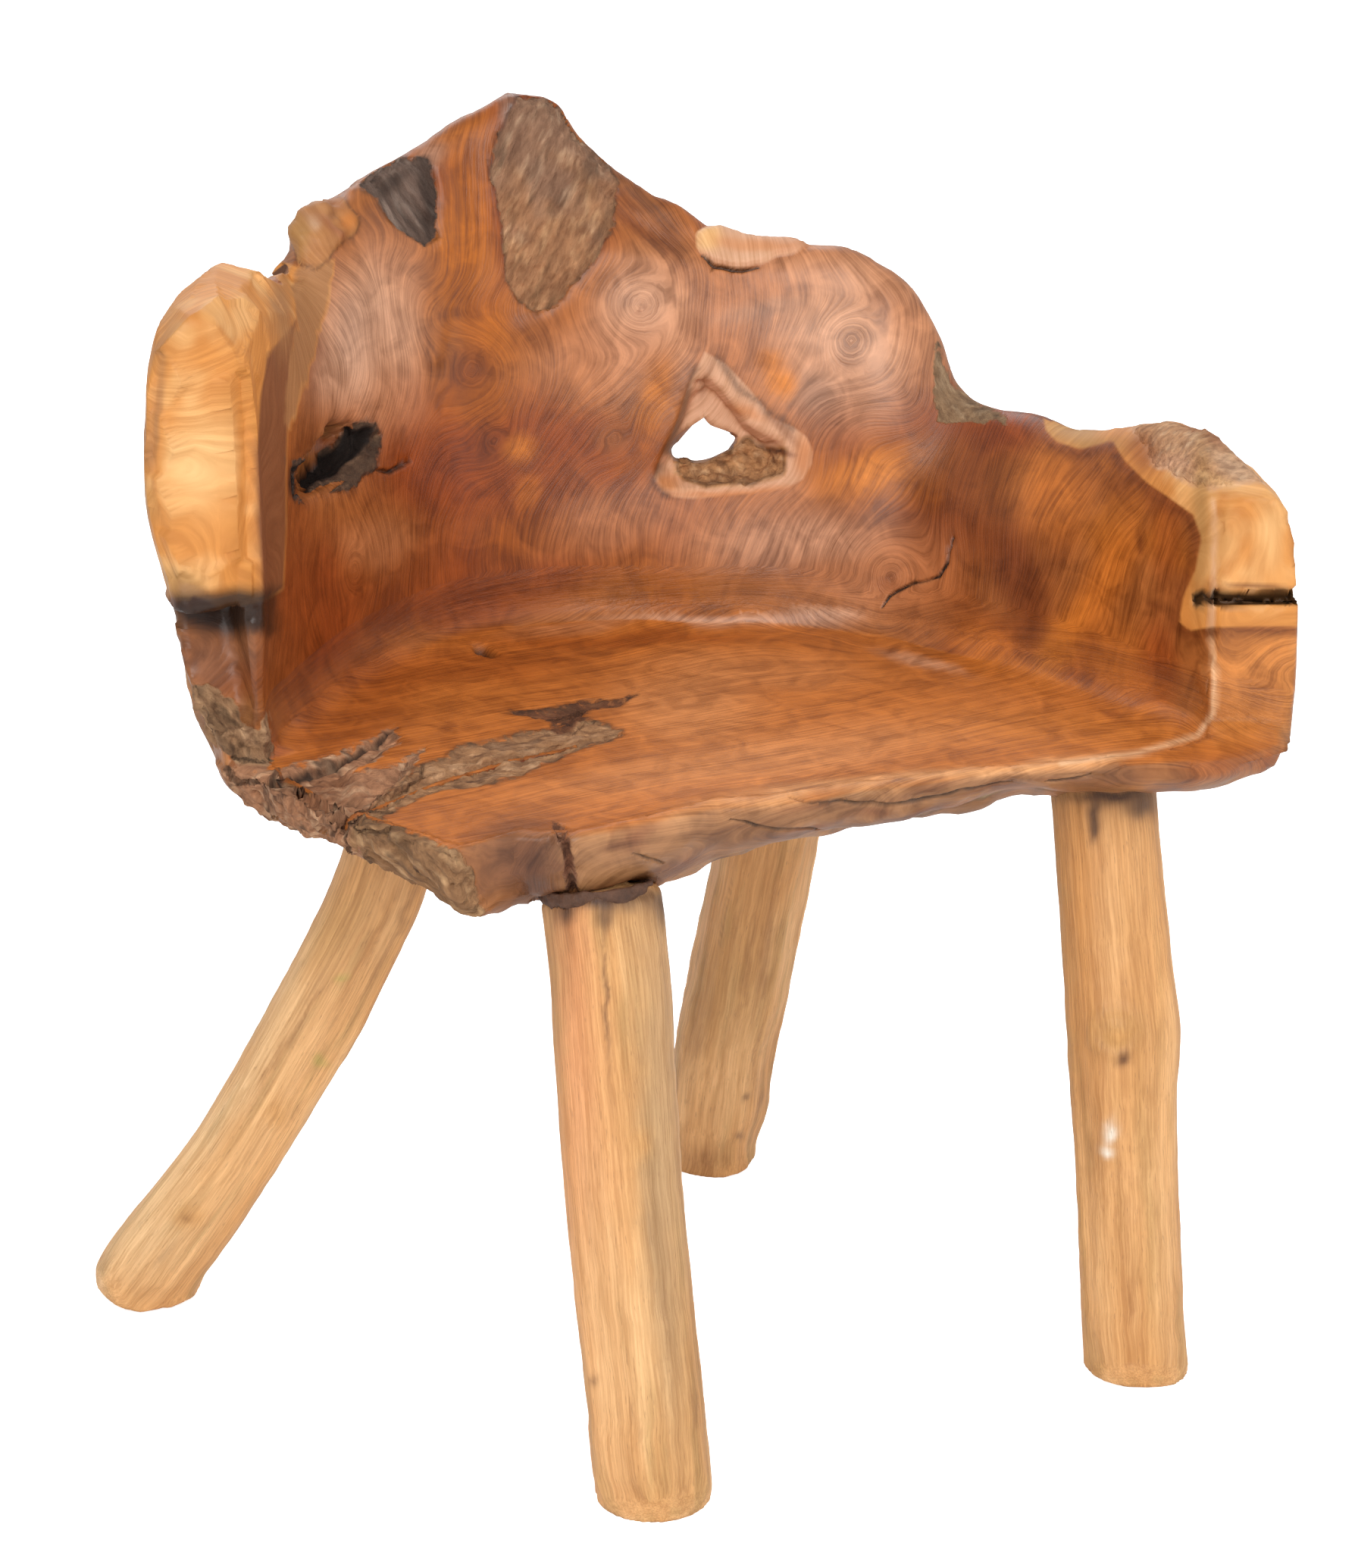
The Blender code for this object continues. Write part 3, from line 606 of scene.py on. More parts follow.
# How far the noise of each kind of wood pushes it in and out
TOOLED_RELIEF = 1.6 * MM
OUTER_RELIEF = 4.0 * MM
OUTER_FURROW = 3.0 * MM
BARK_RELIEF = 3.2 * MM
BARK_DROP = 1.5 * MM
CHAR_RELIEF = 3.0 * MM
CHAR_DROP = 2.0 * MM
BROKEN_RELIEF = 2.4 * MM
BROKEN_PITS = 3.0 * MM
VALLEY_RELIEF = 2.6 * MM
VALLEY_DROP = 2.0 * MM
KNOB_HEIGHT = 2.5 * MM
CRACK_DEPTH = 4.0 * MM
SHELF_DROP = 9.0 * MM
# Plain steps: zone, where its edge begins and ends in pixels inside the outline, and how far it stands out
STEPS = (
    ("seat_pit", 0.0, 6.0, -7.0 * MM),
    ("front_notch", -1.0, 5.0, -5.0 * MM),
    ("dark_hollow", -2.0, 8.0, -9.0 * MM),
    ("rim_lip", -3.0, 9.0, 5.0 * MM),
)
# Down the photograph, where the bark turns from fibrous to knobbly, and from grey to tan
BARK_FIBROUS = (330.0, 250.0)
BARK_TAN = (200.0, 330.0)

# Soft swellings of the polished wood: x, y, half width, half height in pixels, lean in degrees, height in mm
SWELLINGS = (
    (500, 440, 70, 110, 10, 4.0),
    (846, 400, 90, 75, -10, 5.0),
    (1040, 420, 130, 70, 15, 4.0),
    (610, 420, 26, 130, 4, -3.0),
    (905, 470, 26, 60, 20, -3.0),
    (720, 440, 30, 60, 0, -2.0),
    (1190, 640, 50, 60, 0, -4.0),
    (760, 700, 160, 70, 0, 2.0),
    (425, 720, 30, 100, 0, -2.0),
    (1330, 700, 60, 110, 8, 2.0),
    (1480, 760, 60, 90, 0, -2.0),
    (840, 285, 60, 34, 20, -5.0),
    (1000, 335, 80, 14, 8, -2.5),
    (640, 640, 60, 40, 0, 1.5),
    (460, 880, 60, 60, 0, -1.5),
)
# Long soft ridges and furrows: line, half width in pixels, height in mm
RIDGES = (
    (BACK_RIDGE, 24.0, 3.2),
    (BACK_FOLD, 12.0, 1.6),
    (CHAR_FOLD, 9.0, 3.0),
    (FRONT_ARRIS, 9.0, 1.2),
    (CREASE_BEAD, 10.0, 2.2),
    (PEAK_CURL, 7.0, 2.4),
    (PEAK_RIDGE, 9.0, 2.4),
    (PEAK_FURROW, 8.0, -3.0),
)
# Cracks: line, half width in pixels, depth, and how dark each is painted, as dirt and painted shade; the
# crevice at the shelf's step and the gap under the rim's lip are painted shadow
CRACKS = (
    (RIGHT_CRACK, 2.6, 2.5 * MM, 1.0),
    (HOLLOW_CRACK, 4.0, 3.0 * MM, 1.0),
    (LIP_GAP, 3.2, 4.0 * MM, 0.85),
    (CREVICE_LINE, 4.5, 4.0 * MM, 0.9),
    (CREVICE_END, 2.6, 2.5 * MM, 0.85),
    *((line, 2.3, 2.2 * MM, 0.75) for line in FASCIA_CRACKS),
)
# The slot across the right arm's end
SLOT_HALF_WIDTH = 9.0
SLOT_DEPTH = 15.0 * MM

# Small shifts that bring the outline to the photograph's: x, y, half width and half height in pixels, then
# the shift to the right and up, in pixels
NUDGES = (
    (726, 140, 50, 40, 12.0, 26.0),
    (660, 135, 30, 16, 0.0, 4.0),
    (600, 170, 60, 40, 0.0, 11.0),
    (490, 225, 90, 40, 0.0, 11.0),
    (392, 262, 26, 22, -10.0, 10.0),
    (366, 334, 22, 26, 14.0, 0.0),
    (812, 215, 46, 36, -2.0, -5.0),
    (765, 170, 24, 30, -5.0, -2.0),
    (186, 510, 20, 70, 4.0, 0.0),
    (205, 690, 50, 110, -20.0, 0.0),
    (240, 880, 34, 80, -10.0, 0.0),
    (285, 990, 34, 50, 8.0, 4.0),
    (360, 1086, 80, 30, 0.0, -12.0),
    (1000, 300, 110, 24, 0.0, -4.0),
    (890, 276, 50, 16, 0.0, 6.0),
    (1140, 340, 80, 30, 4.0, 9.0),
    (1262, 500, 34, 40, -10.0, -4.0),
    (1372, 550, 50, 20, 0.0, 16.0),
    (1560, 560, 80, 26, 0.0, 20.0),
    (1690, 650, 24, 30, 5.0, 0.0),
    (1712, 725, 30, 66, -12.0, 0.0),
    (1710, 900, 26, 60, 5.0, 0.0),
    (1650, 1015, 110, 46, 3.0, -14.0),
    (1600, 1042, 80, 26, 0.0, -6.0),
    (1345, 1058, 50, 24, 0.0, 10.0),
    (1200, 1084, 110, 22, 0.0, -7.0),
    (600, 1195, 50, 26, 0.0, -8.0),
    (930, 585, 50, 36, -6.0, 0.0),
)
# The size of one pixel of the photograph at the chair
PIXEL = 0.48 * MM

# Middles of the flat places that the saw left on the right arm's end
SAWN_CELLS = ((1655, 715), (1580, 720), (1655, 810), (1580, 812), (1660, 890))
# A flat place with fewer points than this is left as it is
FEWEST_IN_CELL = 12
# Middles of the flat places that the chisel left on the left block
CHISEL_CELLS = (
    (222, 432), (262, 385), (312, 368), (350, 380), (212, 505), (262, 462), (310, 440), (345, 450),
    (215, 590), (262, 545), (310, 540), (222, 668), (268, 632), (318, 625), (232, 740), (275, 712),
    (322, 708), (262, 768), (305, 772), (340, 768),
)

# The way the fibres run in each rough zone, right and up on the photograph, and the share of their length
# that noise keeps there
ROUGH_GRAIN = (
    ("bark", 0.42, 0.9, 0.26),
    ("char", 0.6, -0.8, 0.2),
    ("low_shelf", 0.85, 0.5, 0.3),
    ("seat_groove", 0.92, 0.38, 0.2),
    ("small_crack", 0.97, 0.2, 0.2),
    ("prow", 0.85, -0.5, 0.45),
    ("weathered_chunk", 0.6, -0.8, 0.5),
    ("window_basin", 1.0, 0.1, 0.8),
    ("hollow", 0.8, 0.6, 0.35),
    ("outer_scar", 0.4, -0.9, 0.4),
    ("arm_top", 0.9, -0.45, 0.5),
)


def nudged(points, rows):
    """The points shifted by small outline mends."""
    photo = photo_places(points)
    shift = np.zeros_like(points)
    for x, y, half_width, half_height, right, up in rows:
        share = spot(photo, x, y, half_width, half_height)[:, None]
        shift += share * PIXEL * (right * np.array(RIGHTWARD) + up * np.array(UPWARD))
    return points + shift


def chiselled(points, photo, inside, middles, strength):
    """Pulls each place towards the mean plane of its cell, as a wide chisel leaves it."""
    worked = points.copy()
    chosen = np.flatnonzero(inside > 0.0)
    gaps = [np.hypot(photo[chosen, 0] - x, photo[chosen, 1] - y) for x, y in middles]
    cell = np.argmin(gaps, axis=0)
    for i in range(len(middles)):
        own = chosen[cell == i]
        if len(own) < FEWEST_IN_CELL:
            continue
        middle = points[own].mean(axis=0)
        _, _, axes = np.linalg.svd(points[own] - middle, full_matrices=False)
        lift = (points[own] - middle) @ axes[2]
        worked[own] -= (strength * inside[own] * lift)[:, None] * axes[2]
    return worked


def along_grain(points, zones):
    """The points drawn together along the fibres of each rough zone, so that noise runs in streaks."""
    drawn = points.copy()
    for name, right, up, share in ROUGH_GRAIN:
        fibre = np.array(RIGHTWARD) * right + np.array(UPWARD) * up
        fibre /= np.linalg.norm(fibre)
        weight = ease(-14.0, -8.0, zones[name]) * (1.0 - share)
        drawn -= (weight * (points @ fibre))[:, None] * fibre
    return drawn


def zone_gaps(at, ragged):
    """How far each point lies inside each zone, in pixels."""
    gaps = {}
    for name, ring in ZONES.items():
        places = at["photo"] if name in SMOOTH_EDGED else ragged
        gaps[name] = ring_gap(places, ring) - HIDDEN * (1.0 - at["seen"])
    return gaps


def in_any(zones, names):
    """How far each point lies inside any of the named zones, in pixels."""
    return np.max([zones[name] for name in names], axis=0)


def near_line(places, line, width):
    """1 along a line of pixel places, and nearly 0 beyond this many pixels from it."""
    gap, _ = line_gap(places, line)
    return np.exp(-((gap / width) ** 2))


def crack_gap(places, line, width):
    """Each place's distance from a crack as a share of its half width, which tapers towards both ends."""
    gap, along = line_gap(places, line)
    return gap / (width * np.minimum(1.0, 0.35 + 3.0 * np.minimum(along, 1.0 - along)))


def outer_furrows(rest):
    """Long furrows that run up the outer side: 1 along each one's middle."""
    drawn = rest * np.array([1.0, 1.0, 0.17]) + 4.0 * MM * lumps(rest, 30.0 * MM, 44, 2)[:, None]
    return ease(0.86, 0.99, 1.0 - np.abs(lumps(drawn, 46.0 * MM, 45)))


def push_smooth_wood(push, at, rest):
    """The soft unevenness that hand tools leave, the outer side as it grew, and the swellings and ridges."""
    hidden = 1.0 - at["seen"]
    grown = ease(0.0, 0.35, at["outward"]) * above_seat(at["height"], -80.0, -30.0) * hidden
    outside = np.maximum(grown, ease(0.1, 0.5, -at["up"]))
    tooled = TOOLED_RELIEF * lumps(rest, 95.0 * MM, 1) + 0.5 * MM * lumps(rest, 38.0 * MM, 2)
    upward = rest * GROWN_UPWARD
    lumpy = OUTER_RELIEF * lumps(upward, 70.0 * MM, 5, 2) + 1.4 * MM * lumps(upward, 15.0 * MM, 6, 2)
    push += (1.0 - outside) * tooled + outside * lumpy
    push -= OUTER_FURROW * grown * outer_furrows(rest)
    for x, y, half_width, half_height, lean, height in SWELLINGS:
        push += height * MM * at["seen"] * spot(at["photo"], x, y, half_width, half_height, lean)
    for line, width, height in RIDGES:
        push += height * MM * at["seen"] * near_line(at["wavy"], line, width)


def push_rough_wood(push, at, zones, rest, drawn):
    """Bark, the dark pocket, broken wood, the groove in the seat, plain steps and the rim's knob."""
    fibres = lumps(drawn, 5.0 * MM, 11, 3)
    nodules = lumps(rest, 7.0 * MM, 12, 3)
    grit = lumps(drawn, 3.0 * MM, 13, 2)
    crumbs = lumps(drawn, 7.0 * MM, 14, 3)
    furrows = lumps(drawn, 5.0 * MM, 16, 3)

    knobbly = 1.0 - 0.6 * ease(*BARK_FIBROUS, at["photo"][:, 1])
    bark = 0.5 * fibres + 0.7 * knobbly * nodules
    push += ease(-2.0, 5.0, zones["bark"]) * (BARK_RELIEF * bark - BARK_DROP)
    push += ease(-2.0, 5.0, zones["char"]) * (CHAR_RELIEF * fibres - CHAR_DROP)
    push += ease(-3.0, 5.0, zones["arm_top"]) * (0.6 * MM * crumbs + 0.2 * MM * grit)
    broken = ease(-3.0, 5.0, in_any(zones, BROKEN_ZONES))
    push += broken * (BROKEN_RELIEF * crumbs + 0.7 * MM * grit)
    push -= broken * BROKEN_PITS * ease(0.25, 0.75, lumps(drawn, 8.0 * MM, 15, 2))
    push += ease(-2.0, 6.0, zones["seat_groove"]) * (VALLEY_RELIEF * furrows + 0.5 * MM * grit - VALLEY_DROP)
    push -= CRACK_DEPTH * ease(-1.0, 5.0, zones["small_crack"]) * (1.0 + 0.5 * furrows)
    for name, begins, ends, height in STEPS:
        push += height * ease(begins, ends, zones[name])
    swollen = KNOB_HEIGHT * (1.0 + 1.1 * lumps(rest, 14.0 * MM, 17, 2)) + 1.1 * MM * nodules
    push += ease(-4.0, 12.0, zones["rim_knob"]) * swollen


def carved_root():
    """The root's net pushed in and out by the listed features."""
    root = netted_root()
    at = root_places(root)
    photo, seen = at["photo"], at["seen"]
    rest = root.points.copy()
    warp = noise_pair(rest, 22.0 * MM, 3, 3)
    at["wavy"] = photo + warp
    at["cracked"] = photo + 3.5 * warp
    zones = zone_gaps(at, photo + 5.0 * warp)
    drawn = along_grain(rest, zones)

    push = np.zeros(len(rest))
    push_smooth_wood(push, at, rest)
    push_rough_wood(push, at, zones, rest, drawn)
    for line, width, depth, _ in CRACKS:
        push -= depth * seen * (1.0 - ease(0.0, 1.1, crack_gap(at["cracked"], line, width)))

    # The chisel and the saw left flat places, with less relief on them
    turned_here = ease(0.1, 0.3, at["facing"])
    on_block = ease(0.0, 10.0, zones["left_block"]) * (1.0 - ease(-4.0, 2.0, zones["block_side"]))
    on_end = ease(0.0, 12.0, zones["arm_end"]) * turned_here
    flat = chiselled(rest, photo, on_block * turned_here, CHISEL_CELLS, 0.9)
    flat = chiselled(flat, photo, on_end, SAWN_CELLS, 0.7)
    push *= 1.0 - 0.6 * np.maximum(on_block, on_end)
    root.points = flat + push[:, None] * at["normals"]

    gap, _ = line_gap(photo, SLOT_LINE)
    slot = seen * (1.0 - ease(0.7, 1.1, gap / SLOT_HALF_WIDTH)) * ease(0.3, 0.6, at["facing"])
    root.points -= SLOT_DEPTH * slot[:, None] * np.array(BACKWARD)
    root.points[:, 2] -= SHELF_DROP * ease(-4.0, 24.0, zones["low_shelf"]) * ease(0.3, 0.7, at["up"])
    root.points = nudged(root.points, NUDGES)
    return root, at, zones, rest, drawn


# Wood colours, matched to the photograph
HEART = colour("#9C5A2A")
RUST = colour("#873C12")
UMBER = colour("#6E3413")
AMBER = colour("#A65808")
HONEY = colour("#C87426")
GLOW = colour("#DA8438")
ROSE = colour("#B87852")
# Painted sheen: a pale rose-grey laid where the polished wood shows whitish reflections
PALE_SHEEN = colour("#CD9C80")
ASH = colour("#9B7663")
ARM_GOLD = colour("#BB6824")
SEAT = colour("#BC6A2A")
SEAT_DEEP = colour("#9C4C14")
SEAT_PALE = colour("#CC8450")
# Painted highlights: orange along the front arris, pale along the right arm's arris
ARRIS_HIGHLIGHT_ORANGE = colour("#E0A06C")
ARRIS_HIGHLIGHT_PALE = colour("#E6B890")
FASCIA = colour("#9C6C48")
FASCIA_DEEP = colour("#7A4A30")
PROW_BROWN = colour("#633B26")
END_GRAIN = colour("#C47838")
OUTER = colour("#A06E46")
OUTER_GREY = colour("#93785A")
OUTER_RED = colour("#8C5230")
OUTER_DEEP = colour("#6C442C")
SAPWOOD = colour("#D38C44")
SAPWOOD_LIGHT = colour("#EEBD80")
SAPWOOD_DEEP = colour("#BC8244")
SAPWOOD_OLIVE = colour("#B0834C")
SAPWOOD_ROSE = colour("#D8A684")
KNOB_OCHRE = colour("#B27A48")
SIDE_BROWN = colour("#824E2C")
SIDE_TAN = colour("#A8764A")
RUST_BROWN = colour("#96583A")
WEATHERED_PALE = colour("#C9A88C")
SAWN_BROWN = colour("#7A4A28")
# Near-black of the charred pocket, laid also as painted shade on its deep right side
CHAR_BLACK_AND_SHADE = colour("#2B1E18")
# What turns the grey bark tan lower down: a factor for red, green and blue
BARK_WARMTH = np.array([1.5, 1.3, 0.95])
# Broken and grown surfaces: the middle, the lightest and the darkest colour of each
ROUGH_WOODS = (
    ("outer_scar", "#947658", "#B89C7C", "#5B4633"),
    ("bark", "#96725A", "#BC9C80", "#5E4533"),
    ("char", "#745F54", "#A08E82", "#2E221B"),
    ("hollow", "#5C4433", "#8A6A50", "#241710"),
    ("window_basin", "#C08C5E", "#E0B488", "#7A5032"),
    ("weathered_chunk", "#A98360", "#CDA680", "#3E2B1C"),
    ("low_shelf", "#B48260", "#E2BA96", "#3E2A1C"),
    ("seat_groove", "#AC805A", "#D4A982", "#56392A"),
    ("small_crack", "#7A4C31", "#A0704D", "#3A2216"),
    ("prow", "#9C7450", "#CBA47A", "#3A2719"),
    ("front_notch", "#80523A", "#B98A6C", "#5A3A28"),
    ("arm_top", "#D0A078", "#E4C19E", "#B4835C"),
)

# Sapwood and rubbed wood: zone, colour, and where its edge begins and ends in pixels inside the outline
SAP_WOODS = (
    ("block_side", SIDE_BROWN, (-2.0, 3.0)),
    ("block_strip", SIDE_TAN, (-2.0, 4.0)),
    ("rim_knob", KNOB_OCHRE, (-6.0, -2.0)),
    ("rim_lip", SAPWOOD_ROSE, (-6.0, -2.0)),
    ("window_face", SAPWOOD_ROSE, (-6.0, -2.0)),
    ("window_funnel", SAPWOOD_ROSE, (-6.0, -2.0)),
)
SAP_ZONES = ("left_block", "block_strip", "arm_sapwood", "rim_knob", "rim_lip", "window_face")
# Zones darkened along their edges
DARK_EDGED = ("bark", "char", "seat_groove", "small_crack", "hollow", "window_basin", "rim_knob")
# Painted shade: the pit in the seat, the dark hollow and the shadow under the left block. Zone, where the dark
# begins and where it is full, and how dark it is
DARK_PLACES = (
    ("seat_pit", 0.0, 5.0, 0.85),
    ("dark_hollow", -5.0, 1.0, 0.97),
    ("undercut", -4.0, 22.0, 0.93),
)
# Where colours turn into each other, in pixels across the photograph: the front edge's wood at its left and
# right end, the dark prow's, and the arm's end grain, which also fades down the photograph
FASCIA_FROM = (900.0, 940.0)
FASCIA_TO = (1520.0, 1420.0)
PROW_TO = (780.0, 700.0)
END_GRAIN_FROM = (1592.0, 1604.0)
END_GRAIN_DOWN_TO = (1000.0, 940.0)

# Stains of the polished wood: colour, x, y, half width, half height in pixels, lean in degrees, strength. The
# pale rose-grey rows are painted sheen, the polish's whitish reflections laid into its colour
HEART_STAINS = (
    (RUST, 640, 620, 160, 100, 5, 0.85),
    (RUST, 715, 560, 70, 46, 0, 1.0),
    (RUST, 450, 790, 90, 80, -25, 0.8),
    (HEART, 505, 715, 50, 44, 0, 0.8),
    (ROSE, 500, 716, 44, 30, 0, 0.4),
    (RUST, 640, 760, 130, 50, -8, 0.7),
    (UMBER, 400, 560, 26, 130, 8, 0.4),
    (HEART, 470, 330, 90, 60, -20, 0.7),
    (PALE_SHEEN, 488, 445, 62, 100, 12, 0.75),
    (ASH, 466, 450, 30, 80, 12, 0.4),
    (ROSE, 490, 536, 62, 44, 0, 0.6),
    (PALE_SHEEN, 452, 506, 36, 30, 0, 0.5),
    (HEART, 585, 390, 22, 120, 4, 0.6),
    (AMBER, 618, 290, 34, 130, 4, 0.95),
    (ASH, 566, 215, 22, 14, -30, 0.6),
    (AMBER, 660, 440, 36, 50, 0, 0.8),
    (AMBER, 642, 530, 50, 30, 0, 0.6),
    (HEART, 745, 470, 60, 90, 0, 0.6),
    (PALE_SHEEN, 858, 428, 66, 80, 0, 0.85),
    (ROSE, 800, 480, 90, 50, 0, 0.6),
    (HEART, 850, 286, 60, 34, 25, 0.8),
    (UMBER, 890, 320, 14, 46, -20, 0.6),
    (UMBER, 846, 300, 60, 9, 42, 0.8),
    (SIDE_BROWN, 850, 262, 60, 8, 42, 0.7),
    (PALE_SHEEN, 1110, 372, 90, 20, 10, 0.8),
    (ROSE, 1060, 430, 170, 110, 10, 0.85),
    (PALE_SHEEN, 1120, 470, 90, 80, 10, 0.6),
    (ASH, 1010, 412, 60, 12, -12, 0.45),
    (ASH, 1070, 516, 36, 24, 10, 0.5),
    (ROSE, 1200, 400, 40, 110, -20, 0.5),
    (HEART, 858, 520, 26, 60, 15, 0.5),
    (HONEY, 864, 530, 18, 46, 15, 0.7),
    (HONEY, 1030, 504, 22, 18, 30, 0.9),
    (HONEY, 1015, 476, 16, 12, 0, 0.7),
    (RUST, 800, 575, 80, 26, 4, 0.5),
    (HONEY, 690, 592, 22, 18, 0, 0.7),
    (HONEY, 700, 648, 18, 22, 0, 0.35),
    (ROSE, 820, 680, 110, 36, -20, 0.7),
    (ROSE, 1000, 700, 120, 46, 0, 0.75),
    (ROSE, 1040, 650, 34, 22, 0, 0.6),
    (HONEY, 1176, 622, 84, 30, -14, 0.95),
    (GLOW, 1182, 618, 50, 18, -14, 0.9),
    (HEART, 1180, 770, 110, 80, 0, 0.6),
    (ROSE, 1150, 740, 90, 60, 0, 0.6),
    (FASCIA_DEEP, 300, 865, 64, 44, 0, 0.8),
    (PROW_BROWN, 690, 1138, 60, 56, 0, 0.9),
    (UMBER, 330, 900, 30, 30, 0, 0.5),
    (RUST, 390, 800, 40, 160, 0, 0.6),
    (UMBER, 1230, 600, 60, 40, 0, 0.6),
    (UMBER, 1290, 670, 52, 90, -26, 0.75),
    (UMBER, 1345, 765, 30, 70, -20, 0.9),
    (UMBER, 1480, 640, 70, 12, 32, 0.35),
    (UMBER, 1400, 720, 14, 70, 20, 0.5),
    (ARM_GOLD, 1400, 650, 46, 60, 0, 0.7),
    (ARM_GOLD, 1455, 765, 26, 86, 28, 0.95),
    (HONEY, 1405, 850, 22, 50, 24, 0.6),
    (ARM_GOLD, 1300, 850, 46, 30, 20, 0.8),
    (RUST, 1540, 705, 20, 80, 0, 0.5),
    (ARM_GOLD, 1500, 900, 44, 46, 0, 0.6),
    (RUST, 1528, 850, 24, 40, 0, 0.5),
    (UMBER, 1448, 905, 40, 9, 40, 0.4),
    (ARM_GOLD, 1448, 848, 46, 40, 0, 0.6),
    (RUST, 610, 802, 90, 30, -5, 0.65),
    (PALE_SHEEN, 1050, 712, 90, 30, 0, 0.45),
    (AMBER, 700, 706, 56, 34, 0, 0.35),
    (SEAT_DEEP, 1640, 992, 90, 16, -8, 0.6),
    (SEAT_DEEP, 600, 880, 190, 24, -5, 0.6),
    (SEAT_DEEP, 470, 930, 90, 50, -30, 0.6),
    (SEAT_DEEP, 820, 845, 180, 8, 0, 0.7),
    (SEAT_PALE, 905, 930, 90, 46, 0, 0.7),
    (SEAT_PALE, 1000, 1005, 260, 28, -8, 0.6),
    (SEAT_PALE, 1000, 885, 120, 22, 2, 0.45),
    (HONEY, 1380, 965, 150, 26, 2, 0.4),
    # Painted highlight along the crease between the seat and the back, in these four rows
    (PALE_SHEEN, 1088, 810, 44, 8, 0, 0.8),
    (PALE_SHEEN, 950, 819, 150, 7, 1, 0.6),
    (ROSE, 760, 828, 80, 7, -5, 0.6),
    (PALE_SHEEN, 1215, 872, 56, 6, 14, 0.5),
    (UMBER, 626, 486, 24, 22, 0, 0.55),
    (UMBER, 652, 584, 22, 20, 0, 0.6),
    (SIDE_BROWN, 808, 574, 26, 18, 0, 0.6),
    (UMBER, 1172, 772, 16, 9, 0, 0.5),
    (UMBER, 846, 412, 10, 5, 0, 0.5),
    (UMBER, 1503, 720, 5, 14, 4, 0.8),
    (UMBER, 1522, 798, 12, 6, 0, 0.6),
    (UMBER, 1462, 936, 16, 4, 8, 0.7),
    (UMBER, 1178, 857, 10, 5, -20, 0.7),
    (UMBER, 590, 955, 12, 4, -10, 0.6),
    (ASH, 672, 160, 12, 26, -14, 0.7),
)

# Stains of the sapwood and of the other pale wood at the edges, with a few painted shadows among them
SKIN_STAINS = (
    (SAPWOOD_LIGHT, 268, 600, 44, 66, 0, 0.85),
    (SAPWOOD_LIGHT, 316, 420, 20, 24, 0, 0.6),
    (SAPWOOD_DEEP, 212, 440, 22, 50, 20, 0.7),
    (SAPWOOD_DEEP, 250, 362, 50, 16, -36, 0.6),
    (SAPWOOD_OLIVE, 206, 690, 16, 60, 0, 0.6),
    (SAPWOOD_OLIVE, 246, 764, 26, 12, 10, 0.8),
    (SIDE_TAN, 372, 410, 20, 60, 0, 0.9),
    (SAPWOOD_OLIVE, 1430, 580, 70, 16, 8, 0.85),
    (HEART, 1506, 598, 30, 22, 40, 0.8),
    (RUST_BROWN, 1586, 576, 34, 10, 24, 0.6),
    (RUST_BROWN, 1640, 600, 16, 8, 40, 0.5),
    (WEATHERED_PALE, 1624, 614, 36, 12, 28, 0.6),
    (SAPWOOD_ROSE, 1548, 612, 24, 10, 10, 0.6),
    (SAPWOOD_OLIVE, 1584, 700, 15, 110, 0, 0.9),
    (SAPWOOD_LIGHT, 1684, 700, 24, 60, 0, 0.6),
    (SAWN_BROWN, 1656, 775, 62, 4, 2, 0.75),
    (SAPWOOD_LIGHT, 1620, 640, 40, 8, 20, 0.5),
    (SAPWOOD_LIGHT, 936, 316, 18, 16, 0, 0.9),
    (SIDE_TAN, 198, 560, 12, 120, 4, 0.8),
    (ROSE, 1050, 327, 40, 12, 8, 0.5),
    (SIDE_BROWN, 396, 304, 8, 24, 20, 0.6),
    (HEART, 440, 268, 16, 8, 20, 0.6),
    # Painted shadow line across the window's upper right band
    (SIDE_BROWN, 1030, 566, 34, 7, 42, 0.6),
    (HONEY, 975, 651, 90, 7, -4, 0.7),
    (HONEY, 1062, 600, 14, 34, 0, 0.6),
    (HONEY, 878, 642, 16, 16, 0, 0.6),
    # Painted shadow under the lump at the basin's upper right
    (UMBER, 1024, 597, 26, 5, 8, 0.8),
    (HONEY, 990, 324, 56, 9, 8, 0.45),
    (SAPWOOD_OLIVE, 392, 316, 13, 30, 0, 0.8),
    (SIDE_TAN, 414, 280, 14, 12, 0, 0.6),
    (WEATHERED_PALE, 410, 300, 8, 11, 0, 0.5),
    (RUST_BROWN, 436, 306, 28, 9, 38, 0.65),
    (HONEY, 458, 290, 13, 15, 0, 0.6),
    (SIDE_BROWN, 426, 270, 12, 4, -30, 0.6),
    (SIDE_BROWN, 432, 284, 5, 12, 30, 0.5),
    (SIDE_BROWN, 420, 1042, 40, 20, -30, 0.55),
    # Painted shade down the dark pocket's deep right side, in the first of these two rows
    (CHAR_BLACK_AND_SHADE, 566, 262, 12, 60, -8, 0.75),
    (CHAR_BLACK_AND_SHADE, 520, 246, 44, 10, -38, 0.5),
    (SIDE_BROWN, 934, 500, 6, 30, 10, 0.5),
    (HONEY, 985, 545, 26, 8, 35, 0.5),
)

# Rings round the knots: x, y in pixels, and how far the rings reach
KNOTS = (
    (627, 486, 24.0 * MM),
    (651, 582, 20.0 * MM),
    (808, 573, 18.0 * MM),
    (1122, 450, 38.0 * MM),
    (846, 400, 45.0 * MM),
    (1173, 765, 60.0 * MM),
    (470, 750, 35.0 * MM),
    (1708, 890, 55.0 * MM),
)
# A turn round the seat's centre counts along the figure as a length at this radius, in metres
RING_RADIUS = 0.18
